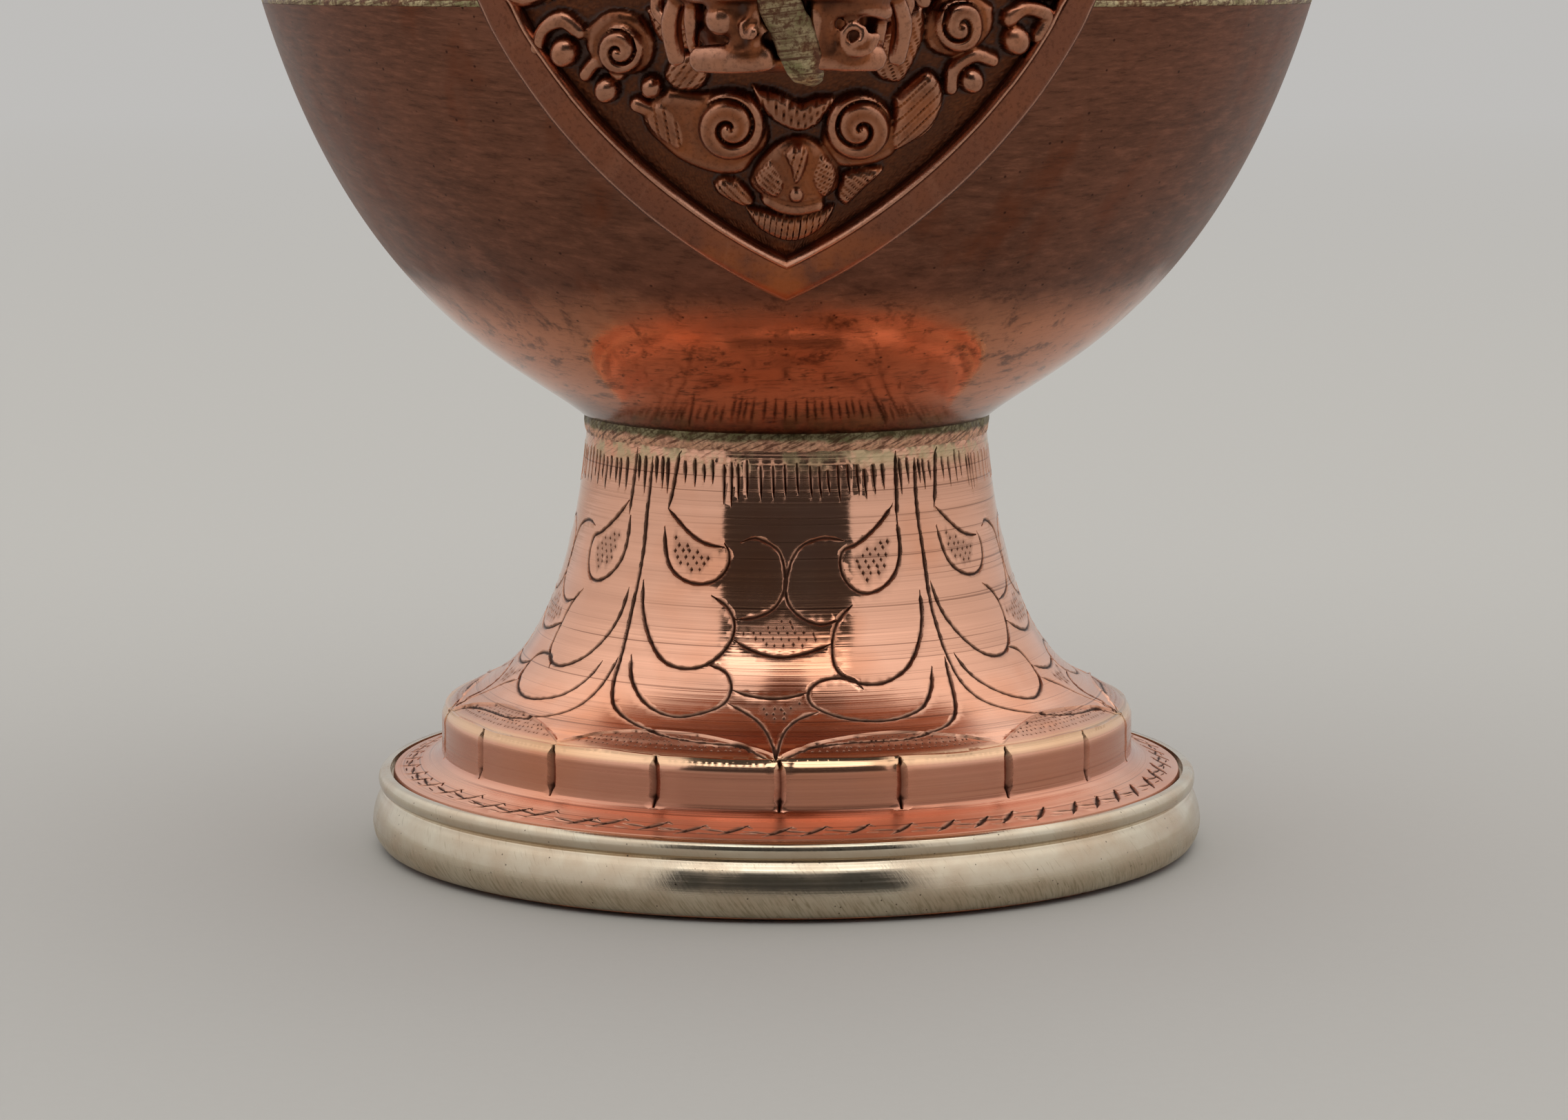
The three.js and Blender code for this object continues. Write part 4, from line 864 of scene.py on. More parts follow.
@functools.lru_cache(maxsize=None)
def engraved_sheet():
    """The foot's outer skin laid flat: points as (degrees, run), faces, height and darkness."""
    sizes = bpy.context.scene.vase_sizes
    outline, run = measured(foot_outline())
    end = run[-1]
    radius_at = lambda s: np.interp(s, run, outline[:, 0])
    run_of = lambda z: np.interp(z, outline[:, 1], run)
    lines = cut_lines(outline, run)
    dots = punch_dots(outline, run)
    segments = [np.column_stack([l[:-1, :2], l[1:, :2], l[:-1, 2], l[1:, 2], l[:-1, 3]]) for l in lines]
    half = sizes.dent_width / MM / 2
    segments.append(np.array([(a, s, a, s, half * k, half * k, sizes.dent_depth / MM * k) for a, s,
                              k in dots]))
    segments = np.concatenate(segments)
    segments = np.concatenate([segments + np.array([turn, 0, turn, 0, 0, 0, 0]) for turn in (-360, 0, 360)])
    burr = sizes.burr / MM
    points, edges = [], []

    def chain(path, closed=False):
        first = len(points)
        points.extend(path)
        edges.extend((first + i, first + i + 1) for i in range(len(path) - 1))
        if closed:
            edges.append((first + len(path) - 1, first))

    columns = np.arange(-180, 181)
    side = np.linspace(0, end, 240)
    chain([(float(a), 0.0) for a in columns] + [(180.0, float(s)) for s in side[1:-1]]
          + [(float(a), float(end)) for a in columns[::-1]] + [(-180.0, float(s)) for s in side[-2:0:-1]],
          True)
    for line in lines:
        scale = np.radians(radius_at(line[:, 1]))
        dx = np.gradient(line[:, 0]) * scale
        dy = np.gradient(line[:, 1])
        size = np.hypot(dx, dy)
        for share in (-BURR_REACH, -1.0, 0.0, 1.0, BURR_REACH):
            path = np.column_stack([line[:, 0] - share * line[:, 2] * dy / size / scale,
                                    line[:, 1] + share * line[:, 2] * dx / size])
            keep = (np.abs(path[:, 0]) < 179.4) & (path[:, 1] > 0.15) & (path[:, 1] < end - 0.15)
            if keep.all():
                chain([tuple(map(float, p)) for p in path])
        # Points just past both ends keep the soot from spreading beyond the cut.
        for k, inner in ((0, 1), (-1, -2)):
            across = float(scale[k])
            way = math.atan2(line[k, 1] - line[inner, 1], (line[k, 0] - line[inner, 0]) * across)
            reach = 1.2 * line[k, 2] + 0.06
            for turn in np.radians((-90, -45, 0, 45, 90)) + way:
                points.append((float(line[k, 0] + reach * math.cos(turn) / across),
                               float(line[k, 1] + reach * math.sin(turn))))
    around = np.arange(-179.5, 179.6, 0.75)
    phase, bead, ridge = lens_edges(around, run_of)
    for line, shifts in ((bead, (-0.26, 0, 0.26)), (ridge, (-0.2, 0, 0.2))):
        for shift in shifts:
            chain([(float(a), float(s)) for a, s in zip(around, line + shift)])
    for a, s, share in dots:
        if abs(a) < 179:
            scale = math.radians(float(radius_at(s)))
            points.append((float(a), float(s)))
            for k in range(4):
                turn = math.pi * k / 2
                points.append((float(a + 0.75 * share * half * math.cos(turn) / scale),
                               float(s + 1.2 * share * half * math.sin(turn))))
    rows = list(np.arange(0.5, end - 0.3, 0.62)) + [float(run_of(z)) for z in (7.15, 8.9, 9.3, 12.4)]
    grid = [(float(a), float(s)) for s in rows for a in columns[1:-1]]
    first, last = float(run_of(12.6)), float(run_of(15.6))
    grid += [(float(a) + 0.5, float(s)) for s in np.arange(first, last, 0.26) for a in columns[1:-2]]
    grid = np.array(grid)
    clear = struck(grid, segments, outline, run, burr)[2]
    points.extend(tuple(map(float, p)) for p in grid[clear > 0.16])

    flat_points = [Vector((a * SHEET_DEGREE, s)) for a, s in points]
    out_points, _, faces, _, _, _ = delaunay_2d_cdt(flat_points, edges, [], 0, 1e-4)
    where = np.array([(p.x / SHEET_DEGREE, p.y) for p in out_points])
    where[:, 0] = np.clip(where[:, 0], -180, 180)
    height, dark, _ = struck(where, segments, outline, run, burr)
    rise, stain = lens(where[:, 0], where[:, 1], run_of)
    height = height + rise
    height[(where[:, 1] < 0.02) | (where[:, 1] > end - 0.02)] = 0
    return where, [tuple(f) for f in faces], height, np.maximum(dark, stain)


def hand_turned(degrees):
    """Where a mark at some degrees lies on the foot, in radians: the maker laid them out by eye."""
    return np.radians(degrees - 1.3 + 4.5 * np.sin(np.radians(degrees)))


def engraved_shell(name, outline, keys):
    """Wraps the engraved skin round a turned outline; keys pair runs on the foot with runs on it."""
    where, faces, height, dark = engraved_sheet()
    wall = bpy.context.scene.vase_sizes.wall / MM
    outline, run = measured(outline)
    r, z, nr, nz = at_run(outline, run, np.interp(where[:, 1], *keys))
    points = round_wall(r + nr * height, hand_turned(where[:, 0]), z + nz * height)
    turn = hand_turned(np.arange(-180, 180))
    inner = np.transpose(at_run(outline, run, np.linspace(0, run[-1], 26)))
    # The first and the last ring close the wall's edges.
    moves = [0] + [wall] * (len(inner) - 2) + [0]
    rings = [round_wall(r - nr * move, turn, z - nz * move) for (r, z, nr, nz), move in zip(inner, moves)]
    inner_points, inner_faces = skin(rings, caps=False)
    first = len(points)
    faces = faces + [tuple(first + i for i in face) for face in inner_faces]
    piece = mesh_piece(name, np.concatenate([points, inner_points]), faces,
                       np.concatenate([dark, np.full(len(inner_points), 0.5)]))
    face_outwards(SKIN_GAP)
    return piece


def build_foot():
    end = measured(foot_outline())[1][-1]
    piece = engraved_shell("foot_shell_engraved", foot_outline(), ([0, end], [0, end]))
    settle(piece, "foot_shell", "spun copper, foot", 32)


# Neck, mouth and stopper

COLLAR_OUTLINE = (
    [(13.0, 130.9), (16.1, 130.9)]
    + flow([(16.3, 130.92), (16.8, 131.2), (17.0, 131.7), (16.82, 132.12), (16.4, 132.32)], 3)
    + flow([(16.4, 132.4), (16.68, 132.65), (16.72, 133.05), (16.45, 133.5), (15.8, 133.9)], 3)
    + [(13.0, 133.9), (13.0, 130.9)]
)
DISH_OUTLINE = (
    [(10.8, 162.4), (10.8, 163.2), (17.6, 163.2), (18.0, 163.0), (18.4, 163.2), (19.4, 163.2)]
    + flow([(20.1, 163.25), (22.0, 164.6), (24.2, 166.5), (26.4, 168.3), (27.6, 168.9), (28.6, 169.0)], 4)
    + [(31.2, 169.0), (31.2, 168.2), (28.0, 168.2)]
    + flow([(27.4, 168.0), (25.0, 166.1), (22.6, 164.0), (20.4, 162.5), (19.6, 162.4)], 4)
    + [(10.8, 162.4)]
)
MOUTH_RIM_OUTLINE = (
    [(31.5, 168.2), (34.3, 168.2)]
    + flow([(34.35, 168.22), (34.72, 168.45), (34.9, 168.85), (34.75, 169.25), (34.35, 169.5)], 3)
    + flow([(34.35, 169.58), (34.75, 169.9), (34.98, 170.7), (34.98, 171.5), (34.75, 172.2), (34.2, 172.75),
            (33.4, 173.0), (32.5, 172.95), (31.8, 172.6), (31.5, 172.0)], 3)
    + [(31.5, 168.2)]
)
SLEEVE_OUTLINE = [(9.3, 163.2), (9.3, 148.1), (9.45, 148.0), (10.15, 148.0), (10.3, 148.15), (10.3, 150.2),
                  (10.2, 150.35), (10.2, 150.6), (10.3, 150.75), (10.3, 161.2), (10.2, 161.35),
                  (10.2, 161.6), (10.3, 161.75), (10.3, 163.2), (9.3, 163.2)]
STOPPER_FLANGE_OUTLINE = ([(0.0, 163.2), (16.7, 163.2)]
                          + flow([(16.8, 163.22), (17.0, 163.5), (17.0, 163.95), (16.75, 164.3),
                                  (16.3, 164.4)], 3)
                          + [(15.9, 164.4), (15.75, 164.25), (15.5, 164.25), (15.35, 164.4), (0.0, 164.4)])
SOCKET_OUTLINE = ([(0.0, 188.2), (4.4, 188.2), (4.8, 188.5), (4.8, 189.0), (4.55, 189.25), (4.6, 189.6)]
                  + [(4.6, 199.0), (4.8, 199.3), (4.8, 199.9), (4.6, 200.2), (4.75, 201.0), (3.8, 201.0),
                     (3.8, 189.7), (0.0, 189.7)])
LIP_OUTLINE = ([(3.8, 201.0), (5.6, 201.0)]
               + flow([(5.7, 201.02), (6.1, 201.4), (6.2, 202.0), (6.0, 202.6), (5.5, 202.95), (4.9, 203.0),
                       (4.2, 202.85), (3.85, 202.4), (3.8, 202.0)], 3)
               + [(3.8, 201.0)])


def neck_outline():
    """The neck's outside from the flange under the mouth down to the collar."""
    flange = [(33.6, 168.2), (33.6, 167.85), (33.6, 167.45), (33.45, 167.2)]
    fillet = flow([(33.45, 167.2), (32.4, 167.05), (31.3, 166.7), (30.45, 166.18), (29.75, 165.92),
                   (29.42, 165.55)], 4)
    band = [(29.4, 165.2), (29.4, 164.3), (29.4, 163.4), (29.4, 162.5)]
    crest = flow([(29.4, 162.3), (29.3, 161.9), (28.95, 161.2), (28.3, 160.6), (27.4, 160.2)], 3)
    stem = curve_between((27.4, 160.2), (14, 133.9), [(0.29, 0.05), (1.19, 0.35)], 60)
    return flange + fillet[1:] + band + crest + stem[1:]


def build_neck():
    settle(turned("neck_collar_ring_turned", COLLAR_OUTLINE), "neck_collar_ring", "nickel silver")
    foot, foot_run = measured(foot_outline())
    neck, neck_run = measured(neck_outline())
    foot_at = lambda z: float(np.interp(z, foot[:, 1], foot_run))
    neck_at = lambda z: float(np.interp(-z, -neck[:, 1], neck_run))
    keys = ([0, *map(foot_at, (7.15, 8.9, 12.4, 14.25)), foot_run[-1]],
            [0, *map(neck_at, (167.2, 165.55, 162.3, 160.2)), neck_run[-1]])
    settle(engraved_shell("neck_shell_engraved", neck_outline(), keys), "neck_shell", "spun copper, foot",
           32)


def build_mouth():
    settle(turned("mouth_dish_turned", DISH_OUTLINE), "mouth_dish", "spun copper, plain", 40)
    settle(turned("mouth_rim_ring_filed", MOUTH_RIM_OUTLINE), "mouth_rim_ring", "nickel silver")


def ribbed(name, outline, count, depth, shape, around=360):
    """A turned form that swells between ribs; shape(share of height, place in rib) gives the swell."""
    points, run = measured(outline)
    turn = np.arange(around) * 2 * math.pi / around
    place = (turn * count / (2 * math.pi)) % 1 * 2 - 1
    rings, dark = [], []
    for (radius, height), share in zip(points, run / run[-1]):
        swell = shape(share, place)
        rings.append(round_wall(radius + depth * swell * min(1, radius / 2), turn, height))
        dark.append(np.clip(0.55 - 1.1 * swell, 0, 1))
    points, faces = skin(rings)
    return mesh_piece(name, points, faces, np.concatenate(dark))


def petal_swell(share, place):
    """Two rows of lotus petals, the lower pointing down and the upper pointing up."""
    wide = np.clip(min(share, 1 - share) / 0.5 * 1.15, 0.02, 1) ** 0.6
    shift = place if share < 0.5 else (place + 2) % 2 - 1
    inner = np.clip(1 - (np.abs(shift) / wide) ** 2.4, 0, 1) ** 0.5
    rib = 0.35 * np.exp(-(shift / 0.1) ** 2)
    waist = min(1, abs(share - 0.5) * 9)
    return (inner - 0.25 * rib) * waist * min(1, 14 * share, 14 * (1 - share))


def gadroon(share, place):
    return (1 - place ** 2) ** 0.5 * min(1, 5 * share, 5 * (1 - share)) - 0.2


def pearl(share, place):
    return (1 - place ** 2) ** 0.5 * math.sin(math.pi * share) ** 0.7


def melon(share, place):
    return (1 - place ** 2) ** 0.5 * math.sin(math.pi * share) ** 0.6 - 0.1


def build_stopper():
    for node, outline, segments, metal_name in (
            ("stopper_sleeve", SLEEVE_OUTLINE, 256, "spun copper, plain"),
            ("stopper_flange", STOPPER_FLANGE_OUTLINE, 256, "spun copper, plain"),
            ("feather_socket", SOCKET_OUTLINE, 128, "spun copper, plain"),
            ("socket_lip_ring", LIP_OUTLINE, 160, "nickel silver")):
        settle(turned(node + "_turned", outline, segments), node, metal_name)
    lotus = [(14.1, 164.5), (14.6, 165.0), (14.3, 165.8), (13.0, 166.5), (12.2, 166.9), (12.0, 167.3),
             (11.7, 168.0), (11.0, 168.6), (10.6, 168.9)]
    dome = curve_between((11.3, 168.9), (5.4, 177.4), [(-0.03, 0.5), (0.5, 0.86)], 40)
    bead = [(5.4, 177.4), (6.5, 177.6), (6.95, 178.1), (7.0, 178.5), (6.95, 178.9), (6.5, 179.4),
            (5.2, 179.6)]
    bulb = [(4.6, 179.6), (5.3, 179.9), (6.6, 181.2), (7.2, 183.2), (7.15, 184.8), (6.4, 186.6),
            (5.1, 187.8), (4.5, 188.2)]
    for node, how, outline, count, depth, shape, metal_name in (
            ("stopper_lotus", "_petals", [(13.9, 164.4)] + flow(lotus, 5), 12, 0.75, petal_swell,
             "worn chased copper"),
            ("stopper_dome", "_fluted", dome, 20, 0.35, gadroon, "worn chased copper"),
            ("stopper_bead_ring", "_pearled", flow(bead, 4), 30, 0.4, pearl, "nickel silver"),
            ("stopper_bulb", "_melon", flow(bulb, 6), 12, 0.42, melon, "worn chased copper")):
        settle(ribbed(node + how, outline, count, depth, shape), node, metal_name)


# Medallion

BELLY_LINE = np.array(BELLY_LOW + [(49.35, 80.75)] + BELLY_WIDE[1:] + BELLY_SHOULDER[1:])
MEDALLION_LOW = curve_between((0, 55.2), (31, 90), [(0.34, 0.14), (0.84, 0.49)], 60)
MEDALLION_HIGH = curve_between((31, 90), (0, 117), [(-0.08, 0.36), (0.5, 0.86)], 60)
FRAME_WIDTH = 3.8
FRAME_HEIGHT = 1.7
# The frame's section from its outer edge in: rounded shoulder, flat band, groove, thin inner ridge.
FRAME_SECTION = [(-0.09, -0.25), (-0.09, -0.13), (-0.03, -0.08), (0.0, 0.0), (0.0, 0.2), (0.02, 0.33),
                 (0.06, 0.46), (0.11, 0.58), (0.16, 0.68), (0.21, 0.75), (0.27, 0.79), (0.34, 0.80),
                 (0.56, 0.81), (0.78, 0.80), (0.81, 0.76), (0.83, 0.70), (0.85, 0.78), (0.87, 0.92),
                 (0.90, 0.99), (0.94, 1.0), (0.97, 0.92), (0.99, 0.6), (1.0, 0.2), (1.0, -0.2)]


def on_belly(arc, height, lift):
    """Places on the belly's front, by arc from the middle, height and lift off the wall, in mm."""
    radius = np.interp(height, BELLY_LINE[:, 1], BELLY_LINE[:, 0])
    slope = np.interp(height, BELLY_LINE[:, 1], np.gradient(BELLY_LINE[:, 0], BELLY_LINE[:, 1]))
    tilt = np.arctan(slope)
    return round_wall(radius + lift * np.cos(tilt), arc / radius, height - lift * np.sin(tilt))


def build_frame():
    right = np.array(MEDALLION_LOW + MEDALLION_HIGH[1:])
    ahead = np.gradient(right, axis=0)
    ahead /= np.hypot(ahead[:, 0], ahead[:, 1])[:, None]
    section = np.array(FRAME_SECTION)
    lines = []
    for share in section[:, 0] * FRAME_WIDTH:
        line = right + share * np.column_stack([-ahead[:, 1], ahead[:, 0]])
        kept = np.where(line[:, 0] > 0.02)[0]
        low, high = line[kept[0]:kept[0] + 2], line[kept[-1] - 1:kept[-1] + 1]
        ends = [(0, a[1] - a[0] * (b[1] - a[1]) / (b[0] - a[0])) for a, b in (low, high)]
        path, run = measured([ends[0], *line[kept], ends[1]])
        where = np.linspace(0, run[-1], 120)
        line = np.column_stack([np.interp(where, run, path[:, 0]), np.interp(where, run, path[:, 1])])
        lines.append(np.concatenate([line, line[-2:0:-1] * (-1, 1)]))
    rings, dark = [], []
    for k in range(len(lines[0])):
        wobble = 1 + 0.02 * hand(k // 6, 4)
        at = np.array([line[k] for line in lines])
        rings.append(on_belly(at[:, 0], at[:, 1], section[:, 1] * FRAME_HEIGHT * wobble + 0.3))
        # The groove is sooty. The flat band gets a little soot, so only the shoulder and the inner ridge
        # take the bright layer. Both walls and the skirt, below half the frame's height, get full soot and
        # turn dark and not metal: a painted contact shadow round the frame.
        groove = np.clip(0.9 - np.abs(section[:, 0] - 0.83) * 30, 0, 1)
        band = (section[:, 0] < 0.8) * (section[:, 0] > 0.18) * (0.13 + 0.02 * hand(k, 9))
        dark.append(np.maximum(groove + (section[:, 1] < 0.5), band))
    points, faces = skin(rings, closed=True)
    piece = mesh_piece("medallion_frame_ridged", points, faces, np.clip(np.concatenate(dark), 0, 1))
    settle(piece, "medallion_frame", "brown frame copper", 40)


# Coils: (arc, height, radius, way round, height of the wire).
SPIRALS = [(-4.6, 71.0, 2.9, 1, 1.25), (5.9, 70.9, 2.8, -1, 1.25), (-13.7, 77.3, 2.1, 1, 1.2),
           (14.2, 79.2, 2.2, -1, 1.2), (-17.5, 86.0, 3.0, -1, 1.0), (17.5, 86.4, 3.0, 1, 1.0)]
SPIRAL_PAIRS = [(-19.5, 94.2, 2.8, 1, 1.0), (-15.5, 101.2, 2.7, -1, 0.9), (-9.0, 106.2, 2.5, 1, 0.9),
                (-25.2, 88.0, 2.0, 1, 0.8), (-3.6, 110.2, 1.7, -1, 0.8)]
# Beads: (arc, height, radius).
BALLS = [(-18.8, 76.9, 1.3), (-15.1, 73.8, 1.15), (-11.2, 74.1, 1.0), (19.4, 77.9, 1.3), (15.5, 74.6, 1.15),
         (0.8, 65.3, 0.8), (0.0, 112.4, 1.2)]
BALL_PAIRS = [(-21.5, 83.5, 1.1), (-23.0, 93.2, 1.2), (-19.0, 99.6, 1.1), (-12.6, 105.4, 1.1),
              (-6.4, 109.2, 0.9)]
# Leaves: the way the ribs run in degrees, rib spacing, height, and outline in (arc, height).
LEAVES = [
    (80, 9, 0.95, [(-12.4, 73), (-12.2, 71.6), (-11.7, 70.3), (-10.6, 69.2), (-9.2, 68), (-7.4, 67.1),
                   (-5.4, 66.6), (-3.6, 66.8), (-2.6, 68), (-1.4, 69.6), (-2, 72), (-4.6, 73.9), (-7, 73.6),
                   (-9.8, 73.9), (-11.3, 73)]),
    (-72, 0.8, 1.2, [(-12.2, 72.4), (-10.2, 73.2), (-8.6, 71.8), (-8, 69.8), (-8.8, 68.6), (-10.6, 69.6),
                     (-11.8, 70.9)]),
    (52, 0.75, 1.3, [(8.8, 73.2), (10, 74.4), (11.5, 75.5), (12.5, 75.1), (13.1, 73.9), (13, 72.3),
                     (12.1, 70.5), (10.5, 69.4), (8.9, 68.7), (8.3, 69.8), (8.7, 71.6)]),
    (80, 9, 0.95, [(2.8, 69.3), (3.8, 67.6), (5.2, 67.2), (7.6, 67.6), (9.2, 68.6), (9.2, 70.5),
                   (8.2, 72.8), (6, 73.8), (3.8, 73), (3, 71)]),
    (105, 0.55, 1.25, [(-2.9, 74.2), (-2.5, 72.7), (-1.3, 71.3), (-0.1, 70.6), (1, 70.3), (2.4, 70.7),
                       (3.2, 71.6), (4.1, 73.2), (2.5, 73.4), (1, 73), (-0.8, 73.8)]),
    (90, 9, 1.0, [(-3.2, 66.2), (-2.5, 67.7), (-1.3, 69.1), (-0.1, 69.8), (1.3, 70), (2.7, 69.5),
                  (3.8, 68.4), (4.5, 67), (4.3, 65.5), (3.2, 64.6), (2.4, 64.1), (1, 63.9), (-0.4, 64.1),
                  (-1.8, 64.6), (-2.9, 65.5)]),
    (-32, 0.42, 1.45, [(-1.3, 68.6), (-0.4, 67.5), (0.1, 66.2), (-0.4, 65), (-1.3, 64.8), (-2.3, 65.5),
                       (-2.9, 66.4), (-2.2, 67.7)]),
    (82, 0.65, 1.55, [(-0.6, 68.9), (0.8, 69.7), (2, 69.2), (1.9, 67.7), (1.2, 66.2), (0.4, 66.1),
                      (0.1, 67.3)]),
    (-18, 0.42, 1.45, [(2.7, 69), (3.8, 68.2), (4.3, 66.8), (3.9, 65.5), (3.1, 64.8), (2.2, 65.5),
                       (1.8, 66.8), (2.2, 68.2)]),
    (-38, 0.5, 1.1, [(-6.2, 65.9), (-5.5, 66.5), (-4.3, 66.4), (-3.2, 65.5), (-2.6, 64.3), (-3.6, 63.9),
                     (-4.8, 64.4), (-5.9, 65.1)]),
    (-28, 0.55, 1.1, [(4.6, 66.8), (5.9, 67.3), (8, 67.3), (7.8, 66.6), (6.6, 65.5), (5.5, 64.4), (4.8, 64),
                      (4.1, 64.9)]),
    (90, 0.5, 1.1, [(-3.6, 64.1), (-1.8, 63.7), (-0.8, 63.4), (0.6, 63.2), (2, 63.5), (4.0, 64.1),
                    (3.5, 62.6), (2.1, 61.4), (0.6, 60.9), (-1.0, 61.2), (-2.7, 62.3)]),
    (62, 0.6, 1.2, [(-9.8, 76.2), (-8, 77.1), (-6.3, 76.4), (-6.7, 74.1), (-8.8, 73.7), (-10.2, 74.8)]),
    (55, 0.6, 1.35, [(-11.7, 80.4), (-9.4, 80.7), (-7.5, 79.4), (-7, 77.4), (-8.7, 77.2), (-10.5, 77.9)]),
    (80, 9, 0.9, [(-17, 78.9), (-14.8, 80.2), (-12, 79.8), (-10.8, 77.8), (-11.4, 75.6), (-13.4, 74.9),
                  (-15.6, 75.6), (-16.9, 77)]),
    (80, 9, 0.9, [(17.4, 80.6), (15, 82), (12.4, 81.4), (11.2, 79.4), (11.7, 77.2), (13.8, 76.4),
                  (16, 77.2), (17.4, 78.8)]),
    (-60, 0.7, 1.35, [(11.3, 81), (8.4, 79.8), (7, 77.2), (7.2, 75), (9.3, 74.4), (10.6, 76.2),
                      (11.4, 78.6)]),
    (50, 0.8, 1.2, [(-20.5, 80.6), (-18, 82.3), (-14.5, 83.3), (-12.8, 85.6), (-14.2, 88), (-15.6, 84.4),
                    (-18.4, 83.2)]),
    (-50, 0.8, 1.2, [(20.5, 80.9), (18, 82.5), (14.5, 83.5), (12.8, 85.8), (14.2, 88.2), (15.6, 84.6),
                     (18.4, 83.4)]),
    (90, 0.7, 1.6, [(0, 114.6), (-1.6, 111.6), (-1.8, 108.4), (0, 105.4), (1.8, 108.4), (1.6, 111.6)]),
]
LEAF_PAIRS = [
    (75, 0.8, 1.25, [(-16.6, 89.8), (-13.4, 91.4), (-12.6, 94.4), (-14, 97.6), (-16.6, 98.6), (-15.2, 95),
                     (-15.4, 92)]),
    (20, 0.7, 1.2, [(-12.4, 98), (-9.4, 100.6), (-8.4, 103), (-11.4, 103.4), (-13, 101.4)]),
    (10, 0.7, 1.3, [(-6.2, 103.6), (-2.6, 104.2), (-0.6, 102.6), (-1.4, 100.2), (-4.4, 101)]),
    (70, 0.8, 1.0, [(-27.4, 84.4), (-24.6, 84), (-22.2, 86), (-22.4, 90), (-25.4, 91.8), (-23.6, 88),
                    (-24.8, 85.8)]),
]
# Curls: raised wires through (arc, height).
CURLS = [
    [(-21.3, 77.3), (-20.6, 78.8), (-18.9, 79.5), (-17.3, 78.6)],
    [(-16.9, 75.1), (-16, 76.1), (-14.9, 76.1), (-14, 75.2)],
    [(18.7, 79.6), (20.3, 80.4), (22.3, 79.7), (21.4, 78.2)],
    [(13.7, 74), (14, 75.6), (15.6, 76.7), (17.3, 76.3)], [(-12.5, 72.6), (-11.5, 72.2), (-10.5, 71.9)],
    [(-1.5, 64.7), (-0.4, 64.1), (1, 63.9), (2.5, 64.2)],
    [(-24.6, 81.8), (-22.4, 81), (-20.6, 81.8), (-20.9, 83)],
    [(24.6, 82.4), (22.4, 81.6), (20.6, 82.2), (20.9, 83.2)],
]
CURL_PAIRS = [[(-22.8, 96.2), (-21.9, 98.4), (-19.6, 98.3)], [(-16.8, 104.3), (-14, 106.2), (-11.6, 108)]]
# What is paired stands on the left, and again, mirrored, on the right.
SPIRALS += SPIRAL_PAIRS + [(-x, z, radius, -way, tall) for x, z, radius, way, tall in SPIRAL_PAIRS]
BALLS += BALL_PAIRS + [(-x, z, radius) for x, z, radius in BALL_PAIRS]
CURLS += CURL_PAIRS + [[(-x, z) for x, z in line] for line in CURL_PAIRS]
LEAVES += LEAF_PAIRS + [(-way, spacing, tall, [(-x, z) for x, z in outline])
                        for way, spacing, tall, outline in LEAF_PAIRS]


def relief(arc, height):
    """How far the chased ornament stands off the medallion's ground, in mm, and where its lines are cut."""
    plain = np.zeros_like(arc)
    high = (0.05 * np.sin(arc * 16.3 + 3 * np.sin(height * 5.1))
            * np.sin(height * 15.7 + 3 * np.sin(arc * 6.3)))
    cut = plain

    def raise_to(value, lines):
        nonlocal high, cut
        cut = np.where(value > high, lines, cut)
        high = np.maximum(high, value)

    def from_line(points):
        nearest = np.full(arc.shape, 99.0)
        for (x0, z0), (x1, z1) in zip(points[:-1], points[1:]):
            dx, dz = x1 - x0, z1 - z0
            t = np.clip(((arc - x0) * dx + (height - z0) * dz) / (dx * dx + dz * dz), 0, 1)
            nearest = np.minimum(nearest, np.hypot(arc - x0 - t * dx, height - z0 - t * dz))
        return nearest

    for way, spacing, tall, outline in LEAVES:
        outline = [tuple(p) for p in flow(outline + [outline[0]], 3)]
        edge = np.where(inside(outline[:-1], arc, height), from_line(outline), 0)
        dome = np.clip(1 - (1 - np.clip(edge, 0, 1)) ** 2, 0, 1) ** 0.5
        east, north = math.cos(math.radians(way)), math.sin(math.radians(way))
        along = arc * east + height * north
        across = -arc * north + height * east
        rib = (np.abs(((across + 0.15 * along) / spacing) % 1 - 0.5) * 2) ** 0.5 if spacing < 5 else 1.0
        lines = np.clip(1 - rib * 2.2, 0, 1) * (edge > 0.12)
        raise_to(np.where(edge > 0, tall * dome - 0.28 * lines * dome, -1), lines)
    for x, z, radius, way, tall in SPIRALS:
        gap = np.hypot(arc - x, height - z)
        turn = np.arctan2(height - z, way * (arc - x)) / (2 * math.pi)
        coil = (gap / radius * 1.6 - turn) % 1
        wire = np.clip(1 - (np.abs(coil - 0.5) * 2) ** 4.5, 0, 1) ** 0.5
        dome = np.clip(1 - (gap / radius) ** 6, 0, 1) ** 0.35
        boss = 0.4 * np.exp(-(gap / 0.7) ** 2)
        raise_to(np.where(gap < radius, tall * (0.45 + 0.95 * wire) * dome + boss, -1),
                 np.where(gap < radius, 1 - wire, 0))
    for line in CURLS:
        gap = from_line(flow(line, 4))
        raise_to(np.where(gap < 0.75, 1.15 * np.clip(1 - (gap / 0.75) ** 2, 0, 1) ** 0.5, -1), plain)
    for x, z, radius in BALLS:
        gap = np.hypot(arc - x, height - z)
        raise_to(np.where(gap < radius, 0.3 + 1.3 * np.clip(1 - (gap / radius) ** 2, 0, 1) ** 0.5, -1),
                 plain)
    return high, cut


